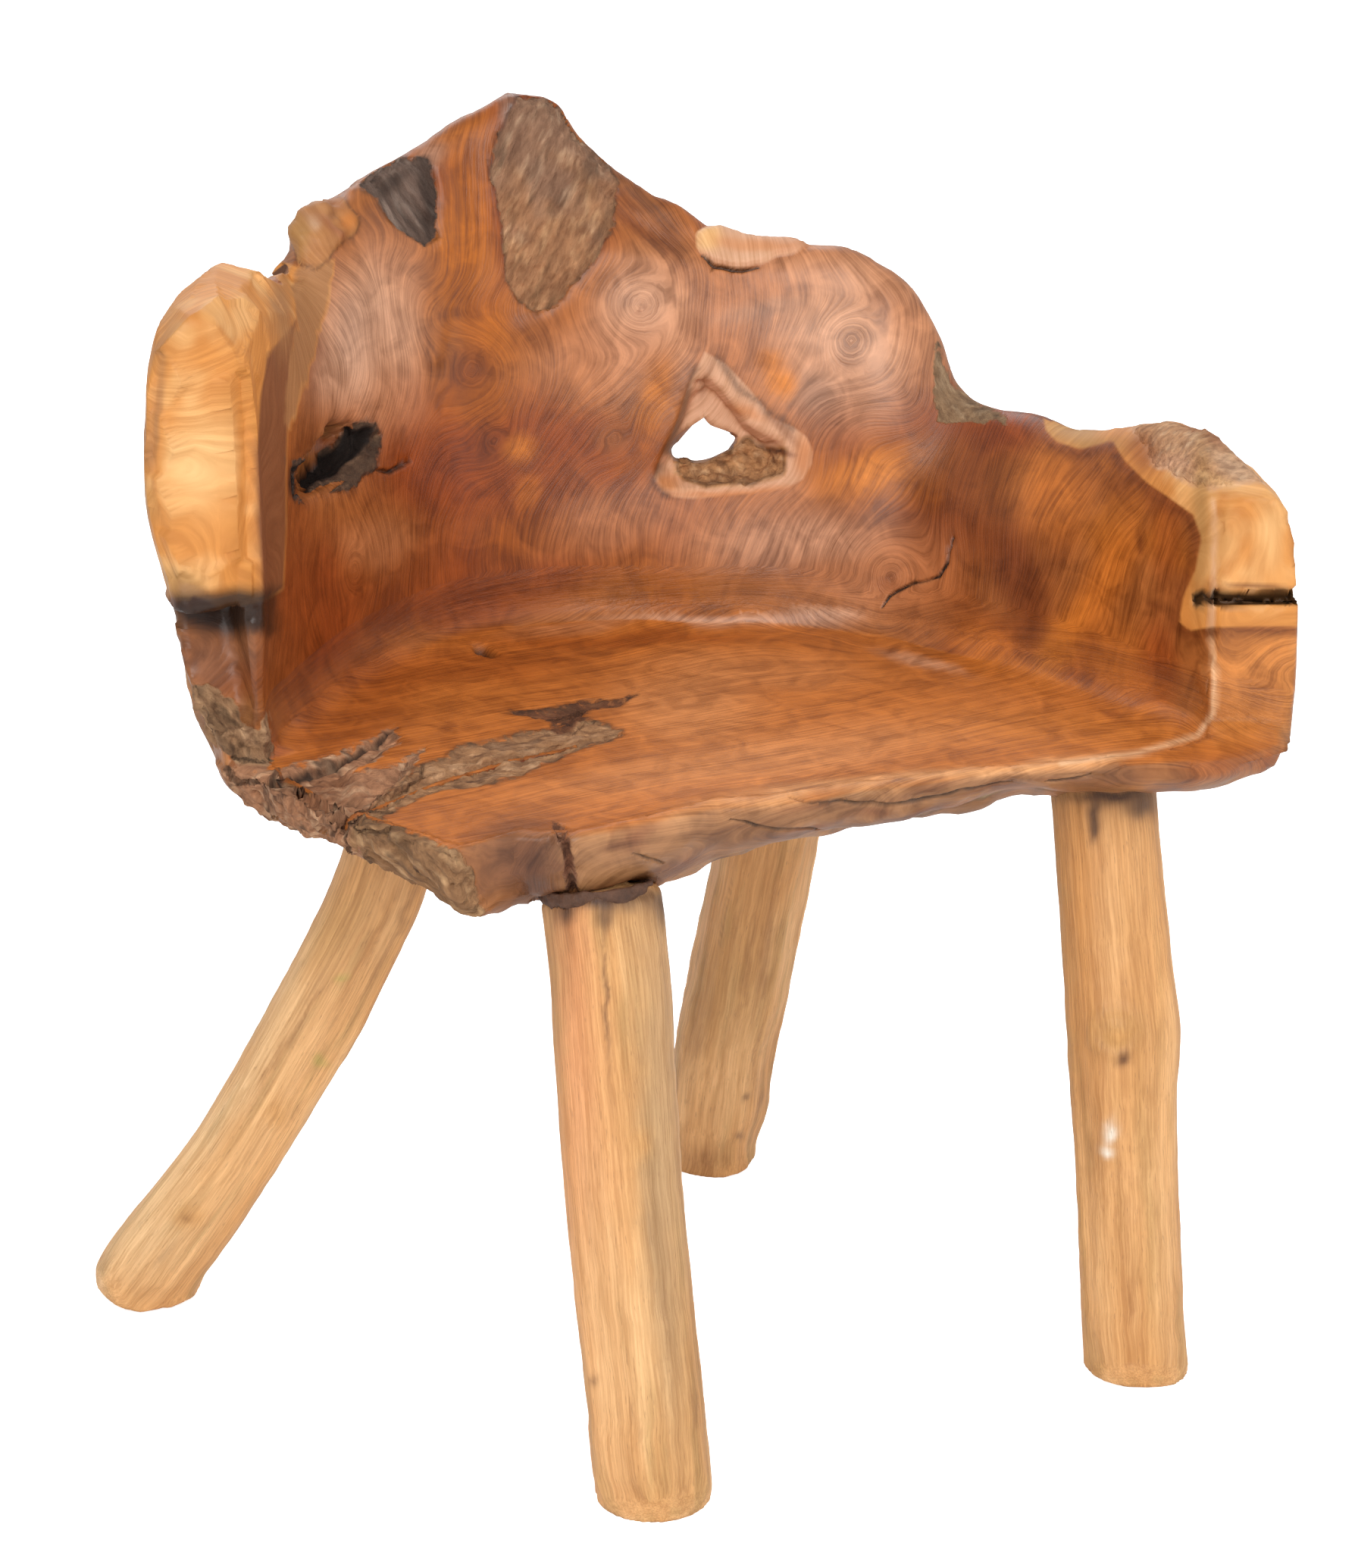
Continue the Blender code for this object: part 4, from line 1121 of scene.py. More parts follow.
# Noise is drawn out along these: up the outer side, and along the front edge
GROWN_UPWARD = np.array([1.0, 1.0, 0.45])
DRAWN_ACROSS = np.array([0.3, 1.0, 1.0])


def stained(wood, places, seen, rows, firm=1.0, spread=1.0):
    """The wood's colours with the listed stains on what the camera sees."""
    for stain, x, y, half_width, half_height, lean, strength in rows:
        mark = spot(places, x, y, spread * half_width, spread * half_height, lean, firm)
        wood = blend(wood, stain, strength * seen * mark)
    return wood


def grain_of(at, rest):
    """A depth into the growth rings for each point, and two lengths along them. The figure follows these."""
    x, y, height = at["from_centre"].T
    hidden = 1.0 - at["seen"]
    swirl = 30.0 * MM * lumps(rest, 130.0 * MM, 21, 2) + 6.0 * MM * lumps(rest, 34.0 * MM, 22)
    wall = RING_RADIUS * np.arctan2(y, x) + 0.25 * height + swirl
    seat = y - 0.08 * x + 7.0 * MM * lumps(rest, 110.0 * MM, 23, 2)
    depth = seat + (wall - seat) * np.maximum(above_seat(height, 8.0, 36.0), hidden)
    for across, down, reach in KNOTS:
        off = np.hypot(at["photo"][:, 0] - across, at["photo"][:, 1] - down) + HIDDEN * hidden
        middle = int(np.argmin(off))
        gap = np.linalg.norm(rest - rest[middle], axis=1)
        gap = gap * (1.0 + 0.10 * lumps(rest, 30.0 * MM, 24))
        depth = depth + (depth[middle] + gap - depth) * np.exp(-((gap / reach) ** 2))
    # The seat is cut along its fibres, so its figure is drawn out the most, and its front edge is lined
    length = 0.4 + 0.6 * np.maximum(above_seat(height, 10.0, 16.0), hidden)
    depth = depth + 0.7 * at["front"] * at["seen"] * (height - SEAT_HEIGHT)
    return np.stack([depth, length * (rest[:, 0] + 0.5 * rest[:, 1]), rest[:, 2]], axis=1)


# The arms' sapwood on the outer side: left or right, the end face, how far back it runs, and its lowest level
SAPWOOD_WRAPS = (
    (-1.0, 0.03, 0.050, 0.533),
    (1.0, -0.19, 0.065, 0.492),
)
# How far out from the seat's centre an arm begins
ARM_OUT = 0.2


def wrapped_sapwood(at, rest):
    """The sapwood of the two arms carried round to their outer sides: more than zero inside it, in mm."""
    x, y, z = at["from_centre"].T
    uneven = 9.0 * lumps(rest, 26.0 * MM, 41, 3)
    found = np.full(len(rest), -HIDDEN)
    for side, face, depth, floor in SAPWOOD_WRAPS:
        inside = np.minimum((face + depth - y) / MM, (z - floor) / MM) + uneven
        found = np.maximum(found, np.where(side * x > ARM_OUT, inside, -HIDDEN))
    return found - HIDDEN * ease(0.15, -0.05, at["outward"])


def outer_wood(rest):
    """The outer side as it grew: brown, with grey weathered places and dark furrows."""
    upward = rest * GROWN_UPWARD
    wood = blend(OUTER, OUTER_GREY, ease(-0.1, 0.9, lumps(upward, 60.0 * MM, 35, 4)))
    wood = blend(wood, OUTER_RED, 0.8 * ease(0.1, 0.9, lumps(upward, 70.0 * MM, 42, 3)))
    wood = blend(wood, OUTER_DEEP, 0.8 * ease(0.35, 1.1, lumps(upward, 30.0 * MM, 43, 4)))
    return blend(wood, OUTER_DEEP, 0.9 * ease(0.3, 0.9, outer_furrows(rest)))


def heart_colour(at, zones, rest):
    """The polished heartwood with its painted sheen, the front edge, the right arm's end grain, the painted
    highlights along the arrises, and the outer side as it grew.
    """
    photo, seen = at["photo"], at["seen"]
    wood = blend(HEART, RUST, ease(-0.2, 0.9, lumps(rest, 70.0 * MM, 33, 2)))
    wood = blend(wood, AMBER, 0.5 * ease(0.1, 0.9, lumps(rest, 60.0 * MM, 34, 3)))
    wood = blend(wood, SEAT, 0.95 * ease(0.75, 0.95, at["up"]) * above_seat(at["height"], 26.0, 12.0))
    outside = np.maximum(ease(0.1, 0.5, at["outward"]), ease(0.0, 0.4, -at["up"]))
    wood = blend(wood, outer_wood(rest), outside * (1.0 - 0.5 * seen))
    # The stains include painted sheen on the polished wood
    wood = stained(wood, at["stained"], seen, HEART_STAINS, firm=1.7, spread=1.12)

    fascia = blend(FASCIA, FASCIA_DEEP, ease(-0.2, 0.9, lumps(rest * DRAWN_ACROSS, 12.0 * MM, 40, 3)))
    fascia = blend(fascia, PROW_BROWN, ease(*PROW_TO, photo[:, 0]))
    shown = ease(*FASCIA_FROM, photo[:, 0] + 0.2 * photo[:, 1]) * ease(*FASCIA_TO, photo[:, 0])
    wood = blend(wood, fascia, 0.9 * at["front"] * seen * shown)
    end = ease(*END_GRAIN_FROM, photo[:, 0]) * ease(*END_GRAIN_DOWN_TO, photo[:, 1])
    wood = blend(wood, END_GRAIN, 0.85 * end * seen)

    # Painted highlights: orange along the front arris, fading out towards its left end, and pale along the
    # arm's arris
    gap, along = line_gap(at["stained"], FRONT_ARRIS)
    arris_highlight = ease(0.1, 0.5, along) * np.exp(-((gap / 9.0) ** 2))
    wood = blend(wood, ARRIS_HIGHLIGHT_ORANGE, 0.8 * seen * arris_highlight)
    wood = blend(wood, ARRIS_HIGHLIGHT_PALE, 0.7 * seen * near_line(photo, ARM_ARRIS, 3.5))
    # The heartwood is darkest just inside the sapwood
    return blend(wood, UMBER, 0.8 * np.exp(-(((zones["arm_sapwood"] + 7.0) / 8.0) ** 2)))


def skin_colour(at, zones, rest, drawn):
    """Sapwood, bark and broken wood, each in its own zone, with a few painted shadows and a painted highlight
    along the arm's arris.
    """
    photo, seen = at["photo"], at["seen"]
    skin = blend(SAPWOOD, SAPWOOD_LIGHT, 0.6 * ease(0.0, 0.9, lumps(rest, 30.0 * MM, 36, 3)))
    for name, wood, edge in SAP_WOODS:
        skin = blend(skin, wood, ease(*edge, zones[name]))
    light_share = 0.75 * ease(0.0, 1.1, lumps(drawn, 4.5 * MM, 37, 3))
    deep = 0.75 * ease(0.25, 1.1, lumps(drawn, 6.5 * MM, 38, 3))
    patches = 0.5 * ease(0.05, 0.8, lumps(drawn, 14.0 * MM, 46, 3))
    dark_share = np.maximum(deep, patches)
    for name, middle, light, dark in ROUGH_WOODS:
        wood = blend(blend(colour(middle), colour(light), light_share), colour(dark), dark_share)
        skin = blend(skin, wood, ease(-8.0, -3.0, zones[name]))
    skin = stained(skin, at["stained"], seen, SKIN_STAINS, firm=1.5)
    # Painted highlight along the arm's arris, over the sapwood as well
    skin = blend(skin, ARRIS_HIGHLIGHT_PALE, 0.8 * seen * near_line(photo, ARM_ARRIS, 3.5))
    low = ease(*BARK_TAN, photo[:, 1] + 60.0 * lumps(rest, 16.0 * MM, 39, 2))
    return blend(skin, skin * BARK_WARMTH, 0.7 * low * ease(-8.0, -3.0, zones["bark"]))


def crack_darkness(at, zones, rest):
    """How dark each point is painted: cracks, with dirt and painted shade in them, the window's lines and the
    edges of rough zones, and painted shade in the pit, the dark hollow, the slot and under the left block.
    """
    seen = at["seen"]
    patchy = 0.5 + 0.5 * ease(-0.5, 0.3, lumps(rest, 9.0 * MM, 47, 2))
    found = [np.zeros(len(rest))]
    for line, width, _, dark in CRACKS:
        found.append(dark * patchy * seen * (1.0 - ease(0.4, 1.3, crack_gap(at["cracked"], line, width))))
    for line in WINDOW_LINES:
        found.append(0.55 * seen * near_line(at["stained"], line, 5.0))
    for name in DARK_EDGED:
        found.append(0.5 * np.exp(-(((zones[name] + 0.5) / 2.2) ** 2)))
    for name, begins, ends, dark in DARK_PLACES:
        found.append(dark * ease(begins, ends, zones[name]))
    # Painted shade in the slot across the right arm's end
    gap, _ = line_gap(at["photo"], SLOT_LINE)
    found.append(0.88 * seen * (1.0 - ease(0.95, 1.25, gap / SLOT_HALF_WIDTH)))
    return np.max(found, axis=0)


def coloured_root(root, at, zones, rest, drawn):
    """Stores the colours, the figure's places and the edges of each kind of wood."""
    at["stained"] = at["photo"] + 13.0 * at["calm"][:, None] * noise_pair(rest, 40.0 * MM, 31, 4)
    root.keep("heart", heart_colour(at, zones, rest))
    root.keep("skin", skin_colour(at, zones, rest, drawn))
    root.keep("grain_at", grain_of(at, rest))
    root.keep("rough_at", drawn)
    root.keep("sap", np.maximum(in_any(zones, SAP_ZONES), wrapped_sapwood(at, rest)))
    root.keep("rough", in_any(zones, [row[0] for row in ROUGH_WOODS]))
    # The crack value: dirt and painted shade, which the material lays over every colour
    root.keep("crack", crack_darkness(at, zones, rest))


# What the dark and the light lines of each kind of wood multiply its colour by
FIGURE_DARK = (0.47, 0.41, 0.33, 1.0)
FIGURE_LIGHT = (1.51, 1.61, 1.59, 1.0)
SAP_DARK = (0.86, 0.80, 0.71, 1.0)
SAP_LIGHT = (1.09, 1.09, 1.09, 1.0)
BROKEN_DARK = (0.58, 0.52, 0.48, 1.0)
BROKEN_LIGHT = (1.2, 1.18, 1.14, 1.0)
# Near-black for dirt and painted shade: cracks, the pit, the dark hollow, the slot and under the left block
CRACK_SHADE_AND_DIRT = tone("#1C110B")
# Each layer of the figure: its size across and along the grain, its detail, where it turns from dark to
# light, and its share. Rings lie 2 to 3 mm apart. The finest fibres are drawn coarser than they are.
FIGURE_LAYERS = (
    (20.0 * MM, 90.0 * MM, 5.0, 0.38, 0.62, 0.20),
    (1.9 * MM, 60.0 * MM, 3.0, 0.40, 0.58, 0.24),
    (0.8 * MM, 22.0 * MM, 3.0, 0.38, 0.62, 0.22),
)
# Fibres of the sapwood, as lumps in a metre across and along the grain: 2 mm by 45 mm
SAP_FIBRES = (500.0, 22.0, 22.0)
CRUMB_SIZE = 5.2 * MM


def oiled_root_wood():
    """Teak root, hollowed out, sanded and oiled: close figure under a soft sheen, with pale sapwood at the
    edges and dull, broken wood where the root was left as it grew."""
    material, tree, shader = new_material("teak_root_sanded_and_oiled")
    heart = add(tree, "Attribute", attribute_name="heart")
    skin = add(tree, "Attribute", attribute_name="skin")
    grain = add(tree, "Attribute", out=1, attribute_name="grain_at")
    broken_at = add(tree, "Attribute", out=1, attribute_name="rough_at")
    sap = add(tree, "Attribute", out=2, attribute_name="sap")
    rough = add(tree, "Attribute", out=2, attribute_name="rough")
    crack = add(tree, "Attribute", out=2, attribute_name="crack")
    body = add(tree, "TexCoord", out=3)

    figure = 0.0
    for across, along, detail, dark, light, share in FIGURE_LAYERS:
        stretch = (1.0 / across, 1.0 / along, 1.0 / along)
        drawn = add(tree, "VectorMath", {0: grain, 1: stretch}, operation="MULTIPLY")
        noise = add(tree, "TexNoise", {"Vector": drawn, "Scale": 1.0, "Detail": detail})
        lines = add(tree, "MapRange", {0: noise, 1: dark, 2: light, 3: 0.0, 4: share})
        figure = add(tree, "Math", {0: figure, 1: lines}, operation="ADD")
    cloudy = {"Vector": body, "Scale": 1.0 / (26.0 * MM), "Detail": 8.0, "Distortion": 1.2}
    clouds = add(tree, "MapRange", {0: add(tree, "TexNoise", cloudy), 1: 0.38, 2: 0.62, 3: 0.0, 4: 0.32})
    figure = add(tree, "Math", {0: figure, 1: clouds}, operation="ADD")
    light = add(tree, "Mix", {0: figure, 6: FIGURE_DARK, 7: FIGURE_LIGHT}, 2, data_type="RGBA")
    wood = add(tree, "Mix", {0: 1.0, 6: heart, 7: light}, 2, data_type="RGBA", blend_type="MULTIPLY")

    # Sapwood has fainter fibres. Broken wood runs in streaks with dark pits
    drawn = add(tree, "VectorMath", {0: grain, 1: SAP_FIBRES}, operation="MULTIPLY")
    fibres = add(tree, "TexNoise", {"Vector": drawn, "Scale": 1.0, "Detail": 4.0})
    fibres = add(tree, "MapRange", {0: fibres, 1: 0.36, 2: 0.64})
    sap_light = add(tree, "Mix", {0: fibres, 6: SAP_DARK, 7: SAP_LIGHT}, 2, data_type="RGBA")
    crumbly = {"Vector": broken_at, "Scale": 1.0 / CRUMB_SIZE, "Detail": 9.0, "Roughness": 0.62}
    crumbs = add(tree, "MapRange", {0: add(tree, "TexNoise", crumbly), 1: 0.34, 2: 0.66})
    broken_light = add(tree, "Mix", {0: crumbs, 6: BROKEN_DARK, 7: BROKEN_LIGHT}, 2, data_type="RGBA")

    # The edge of the broken wood wobbles by a few pixels of the photograph, and the sapwood's is clean
    wobble = add(tree, "TexNoise", {"Vector": body, "Scale": 1.0 / (7.0 * MM), "Detail": 4.0})
    wobble = add(tree, "MapRange", {0: wobble, 1: 0.2, 2: 0.8, 3: -5.0, 4: 5.0})
    edge = add(tree, "Math", {0: rough, 1: wobble}, operation="ADD")
    rough_share = add(tree, "MapRange", {0: edge, 1: -1.5, 2: 1.5})
    sap_share = add(tree, "MapRange", {0: sap, 1: -2.0, 2: 2.0})
    skin_light = add(tree, "Mix", {0: rough_share, 6: sap_light, 7: broken_light}, 2, data_type="RGBA")
    skin_wood = add(tree, "Mix", {0: 1.0, 6: skin, 7: skin_light}, 2, data_type="RGBA", blend_type="MULTIPLY")
    pale = add(tree, "Math", {0: rough_share, 1: sap_share}, operation="MAXIMUM")
    base = add(tree, "Mix", {0: pale, 6: wood, 7: skin_wood}, 2, data_type="RGBA")
    # Painted shade and dirt, laid by the crack value
    base = add(tree, "Mix", {0: crack, 6: base, 7: CRACK_SHADE_AND_DIRT}, 2, data_type="RGBA")
    tree.links.new(base, shader.inputs["Base Color"])

    # Oiled heartwood has a soft sheen, sapwood is duller, and broken wood has none
    sheen = add(tree, "MapRange", {0: figure, 1: 0.2, 2: 0.8, 3: 0.34, 4: 0.44})
    dull = add(tree, "Mix", {0: pale, 2: sheen, 3: 0.55})
    dull = add(tree, "Mix", {0: rough_share, 2: dull, 3: 0.9})
    tree.links.new(dull, shader.inputs["Roughness"])

    fine_height = add(tree, "Math", {0: lines, 1: 0.4}, operation="MULTIPLY")
    broken_height = add(tree, "Math", {0: crumbs, 1: 1.5}, operation="MULTIPLY")
    height = add(tree, "Mix", {0: rough_share, 2: fine_height, 3: broken_height})
    bump = add(tree, "Bump", {"Height": height, "Distance": 1.0 * MM, "Strength": 1.0})
    tree.links.new(bump, shader.inputs["Normal"])
    shader.inputs["IOR"].default_value = 1.5
    shader.inputs["Specular IOR Level"].default_value = 0.4
    return material


def make_root():
    """The seat, back and arms in one piece of root wood."""
    root, at, zones, rest, drawn = carved_root()
    coloured_root(root, at, zones, rest, drawn)
    root.place(oiled_root_wood())


# The four pole legs: the net's cell, the length of the slices that give a pole's middle line, how much a
# flat takes off of what stands past it, and the share of the pole's length that noise keeps
POLE_CELL = 2.6 * MM
SLICE = 12.0 * MM
FLAT_BITE = 0.85
POLE_STRETCH = 0.12
# Flats on each pole: the way each faces, in degrees from the camera's right towards the camera, and how far
# out it stands as a share of the pole's radius
POLE_FLATS = {
    "leg_front_left": ((126.0, 0.93), (54.0, 0.93), (182.0, 1.0), (-60.0, 0.97)),
    "leg_front_right": ((148.0, 0.97), (96.0, 0.95), (42.0, 0.97), (-90.0, 0.96)),
    "leg_rear_left": ((120.0, 0.94), (60.0, 0.93), (10.0, 0.95), (-100.0, 0.93)),
    "leg_rear_right": ((100.0, 0.92), (30.0, 0.94), (170.0, 0.94), (-80.0, 0.93)),
}
POLE_TAN = colour("#DFA669")
POLE_PALE = colour("#EDBB82")
POLE_OLIVE = colour("#B58E56")
POLE_BROWN = colour("#9C6A3C")
POLE_ROSE = colour("#EBA06C")
POLE_KNOT = colour("#D9A05F")
POLE_HONEY = colour("#CF9050")
# Grey laid as painted shade on a pole's side away from the light
POLE_SHADE_GREY = colour("#B08D68")
POLE_CREAM = colour("#F0CC9C")
KNOT_DARK = colour("#6E4528")
GLUE_BROWN = colour("#4A2E1E")
PAINT_WHITE = colour("#F3EBDD")
MOSS = colour("#A3A14A")
# Marks on the poles: colour, x, y, half width, half height in pixels, lean in degrees, strength
POLE_STAINS = {
    "leg_front_left": (
        (POLE_ROSE, 760, 1400, 34, 420, -5, 0.8),
        (POLE_PALE, 800, 1750, 26, 260, -5, 0.7),
        (POLE_OLIVE, 725, 1300, 10, 200, -5, 0.5),
        # Painted shade down the pole's right side, away from the light: this olive row and the two grey rows
        # after it
        (POLE_OLIVE, 868, 1550, 26, 420, -5, 0.5),
        (POLE_BROWN, 738, 1262, 12, 110, -4, 0.5),
        (POLE_SHADE_GREY, 868, 1400, 24, 300, -5, 0.6),
        (POLE_SHADE_GREY, 872, 1660, 22, 240, -5, 0.55),
        (POLE_BROWN, 800, 1300, 3, 110, -3, 0.6),
        (KNOT_DARK, 801, 1330, 2, 70, -2, 0.6),
        (POLE_KNOT, 843, 1508, 16, 22, 0, 0.7),
        (KNOT_DARK, 786, 1823, 4, 8, 0, 0.7),
        (GLUE_BROWN, 790, 1186, 100, 16, 0, 1.0),
        (GLUE_BROWN, 742, 1206, 16, 16, 0, 0.9),
        (GLUE_BROWN, 800, 1210, 12, 16, 0, 0.7),
        (GLUE_BROWN, 864, 1200, 14, 20, 0, 0.8),
    ),
    "leg_front_right": (
        (POLE_HONEY, 1450, 1200, 70, 260, -3, 0.95),
        (POLE_HONEY, 1490, 1640, 60, 240, -3, 0.5),
        (POLE_OLIVE, 1402, 1400, 16, 420, -3, 0.8),
        (POLE_PALE, 1470, 1250, 26, 200, -3, 0.6),
        (POLE_PALE, 1530, 1600, 16, 260, -3, 0.6),
        (POLE_OLIVE, 1510, 1500, 10, 220, -3, 0.5),
        (POLE_BROWN, 1452, 1500, 14, 100, -3, 0.25),
        (POLE_HONEY, 1504, 1370, 34, 150, -3, 0.5),
        (POLE_PALE, 1456, 1680, 16, 170, -3, 0.6),
        (POLE_OLIVE, 1474, 1362, 27, 25, 0, 0.7),
        (POLE_KNOT, 1474, 1362, 18, 16, 0, 0.9),
        (KNOT_DARK, 1483, 1396, 9, 8, 0, 0.95),
        (GLUE_BROWN, 1470, 1052, 60, 12, 0, 1.0),
        (GLUE_BROWN, 1446, 1078, 9, 26, 8, 0.9),
        (GLUE_BROWN, 1444, 1098, 7, 12, 0, 0.8),
        (GLUE_BROWN, 1505, 1066, 24, 14, 0, 0.8),
        (PAINT_WHITE, 1467, 1492, 7, 13, 20, 0.95),
        (PAINT_WHITE, 1462, 1516, 9, 6, 20, 0.9),
    ),
    "leg_rear_left": (
        (POLE_PALE, 400, 1400, 22, 200, 32, 0.5),
        (POLE_CREAM, 306, 1455, 24, 220, 33, 0.6),
        (POLE_CREAM, 210, 1640, 60, 70, 33, 0.5),
        (POLE_CREAM, 374, 1305, 14, 80, 25, 0.5),
        (POLE_BROWN, 396, 1342, 4, 60, 30, 0.5),
        (POLE_BROWN, 374, 1215, 5, 60, 24, 0.45),
        (POLE_BROWN, 352, 1420, 4, 60, 32, 0.4),
        (POLE_BROWN, 470, 1250, 6, 100, 24, 0.5),
        (POLE_BROWN, 515, 1210, 5, 80, 24, 0.5),
        (POLE_OLIVE, 430, 1230, 30, 60, 26, 0.4),
        (MOSS, 441, 1292, 7, 5, 0, 0.5),
        (MOSS, 419, 1404, 7, 7, 0, 0.6),
        (POLE_KNOT, 363, 1471, 14, 18, 30, 0.7),
        (POLE_KNOT, 261, 1604, 16, 20, 30, 0.7),
        (POLE_BROWN, 258, 1606, 6, 8, 30, 0.5),
    ),
    "leg_rear_right": (
        # Partly painted shade: the rear right pole stands in shade under the seat, and this broad olive
        # darkens its upper part as well as tinting it
        (POLE_OLIVE, 960, 1320, 60, 120, 8, 0.5),
        (POLE_BROWN, 925, 1360, 10, 70, 8, 0.6),
        (POLE_BROWN, 1010, 1250, 6, 90, 8, 0.5),
        (POLE_BROWN, 984, 1300, 5, 80, 8, 0.5),
        (POLE_PALE, 955, 1440, 34, 90, 8, 0.95),
        (KNOT_DARK, 985, 1502, 8, 6, 0, 0.7),
        (KNOT_DARK, 989, 1446, 6, 5, 0, 0.7),
        (POLE_BROWN, 930, 1530, 30, 20, -10, 0.5),
    ),
}
# Small outline mends of the poles, as for the root
POLE_NUDGES = {
    "leg_front_left": (
        (712, 1250, 40, 160, 9.0, 0.0), (765, 1640, 40, 180, -4.0, 0.0), (870, 1270, 40, 180, 11.0, 0.0),
        (800, 1960, 60, 100, -4.0, 0.0), (840, 2000, 90, 40, 0.0, -4.0),
    ),
    "leg_front_right": (
        (1420, 1700, 40, 240, -4.0, 0.0), (1540, 1250, 30, 160, 5.0, 0.0), (1550, 1365, 20, 40, 2.0, 0.0),
        (1555, 1815, 30, 50, 6.0, -5.0),
    ),
    "leg_rear_left": (
        (520, 1200, 130, 110, 18.0, 0.0), (470, 1380, 60, 120, 8.0, 0.0), (150, 1640, 130, 150, -24.0, 2.0),
        (110, 1725, 60, 40, 22.0, 14.0),
    ),
    "leg_rear_right": (
        (1010, 1430, 40, 80, -12.0, 0.0), (1012, 1520, 40, 40, -14.0, 6.0), (900, 1350, 30, 160, -14.0, 0.0),
        (910, 1560, 40, 30, 0.0, -8.0),
    ),
}
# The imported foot's round corner, how much of it stays, and the slices round the foot that are worked in turn
FOOT_ROUND = 9.0 * MM
FOOT_CORNER = 0.35
FOOT_SECTOR = math.radians(10.0)
# How far the whole surface of a pole is pushed out, to make up for what its flats take off
POLE_GROWTH = {"leg_front_left": 1.6 * MM, "leg_front_right": 1.4 * MM}
# Knots that stand out of a pole: x, y, radius in pixels, height in mm
POLE_KNOTS = {
    "leg_front_right": ((1474, 1362, 30, 2.2),),
    "leg_rear_left": ((363, 1471, 18, 1.2), (261, 1604, 18, 1.4)),
    "leg_front_left": ((843, 1508, 16, 0.8),),
}


def pole_places(pole):
    """Each point's place right of, in front of and along the pole's middle line, the pole's radius there, and
    the ways right and forward."""
    foot = pole.points[np.argmin(pole.points[:, 2])]
    top = pole.points[np.argmax(pole.points[:, 2])]
    axis = (top - foot) / np.linalg.norm(top - foot)
    along = (pole.points - foot) @ axis
    slices = np.round(along / SLICE).astype(int)
    slices -= slices.min()
    count = np.maximum(np.bincount(slices), 1)
    middles = np.stack([np.bincount(slices, pole.points[:, k]) / count for k in range(3)], axis=1)
    heights = np.bincount(slices, along) / count
    middle = np.stack([np.interp(along, heights, middles[:, k]) for k in range(3)], axis=1)
    off = pole.points - middle
    right = np.array(RIGHTWARD) - axis * (np.array(RIGHTWARD) @ axis)
    right /= np.linalg.norm(right)
    forward = np.cross(right, axis)
    if forward @ np.array(BACKWARD) < 0.0:
        forward = -forward
    across, toward = off @ right, off @ forward
    reach = np.bincount(slices, np.hypot(across, toward)) / count
    radius = np.interp(along, heights, reach)
    return across, toward, along, radius, right, forward


def squared_foot(points):
    """The pole with its foot's round corner drawn out to the crisp one that a saw leaves."""
    height = points[:, 2]
    foot = height < 2.0 * FOOT_ROUND
    ring = points[(height > FOOT_ROUND) & (height < 2.0 * FOOT_ROUND), :2]
    middle = (ring.min(axis=0) + ring.max(axis=0)) / 2.0
    turns = np.arctan2(*(ring - middle).T)
    sectors = np.round(turns / FOOT_SECTOR).astype(int)
    off = points[:, :2] - middle
    own = np.round(np.arctan2(*off.T) / FOOT_SECTOR).astype(int)
    reach = np.hypot(*off.T)
    worked = points.copy()
    for sector in np.unique(sectors):
        edge = np.median(np.hypot(*(ring[sectors == sector] - middle).T))
        chosen = foot & (own == sector)
        near = ease(1.6 * FOOT_ROUND, 0.6 * FOOT_ROUND, edge - reach[chosen])
        wanted = edge - FOOT_CORNER * (edge - reach[chosen])
        low = ease(2.0 * FOOT_ROUND, 0.5 * FOOT_ROUND, height[chosen])
        share = near * low * np.maximum(wanted / np.maximum(reach[chosen], MM) - 1.0, 0.0)
        worked[chosen, :2] += share[:, None] * off[chosen]
        worked[chosen, 2] -= near * low * (1.0 - FOOT_CORNER) * np.minimum(height[chosen], 0.5 * FOOT_ROUND)
    return worked


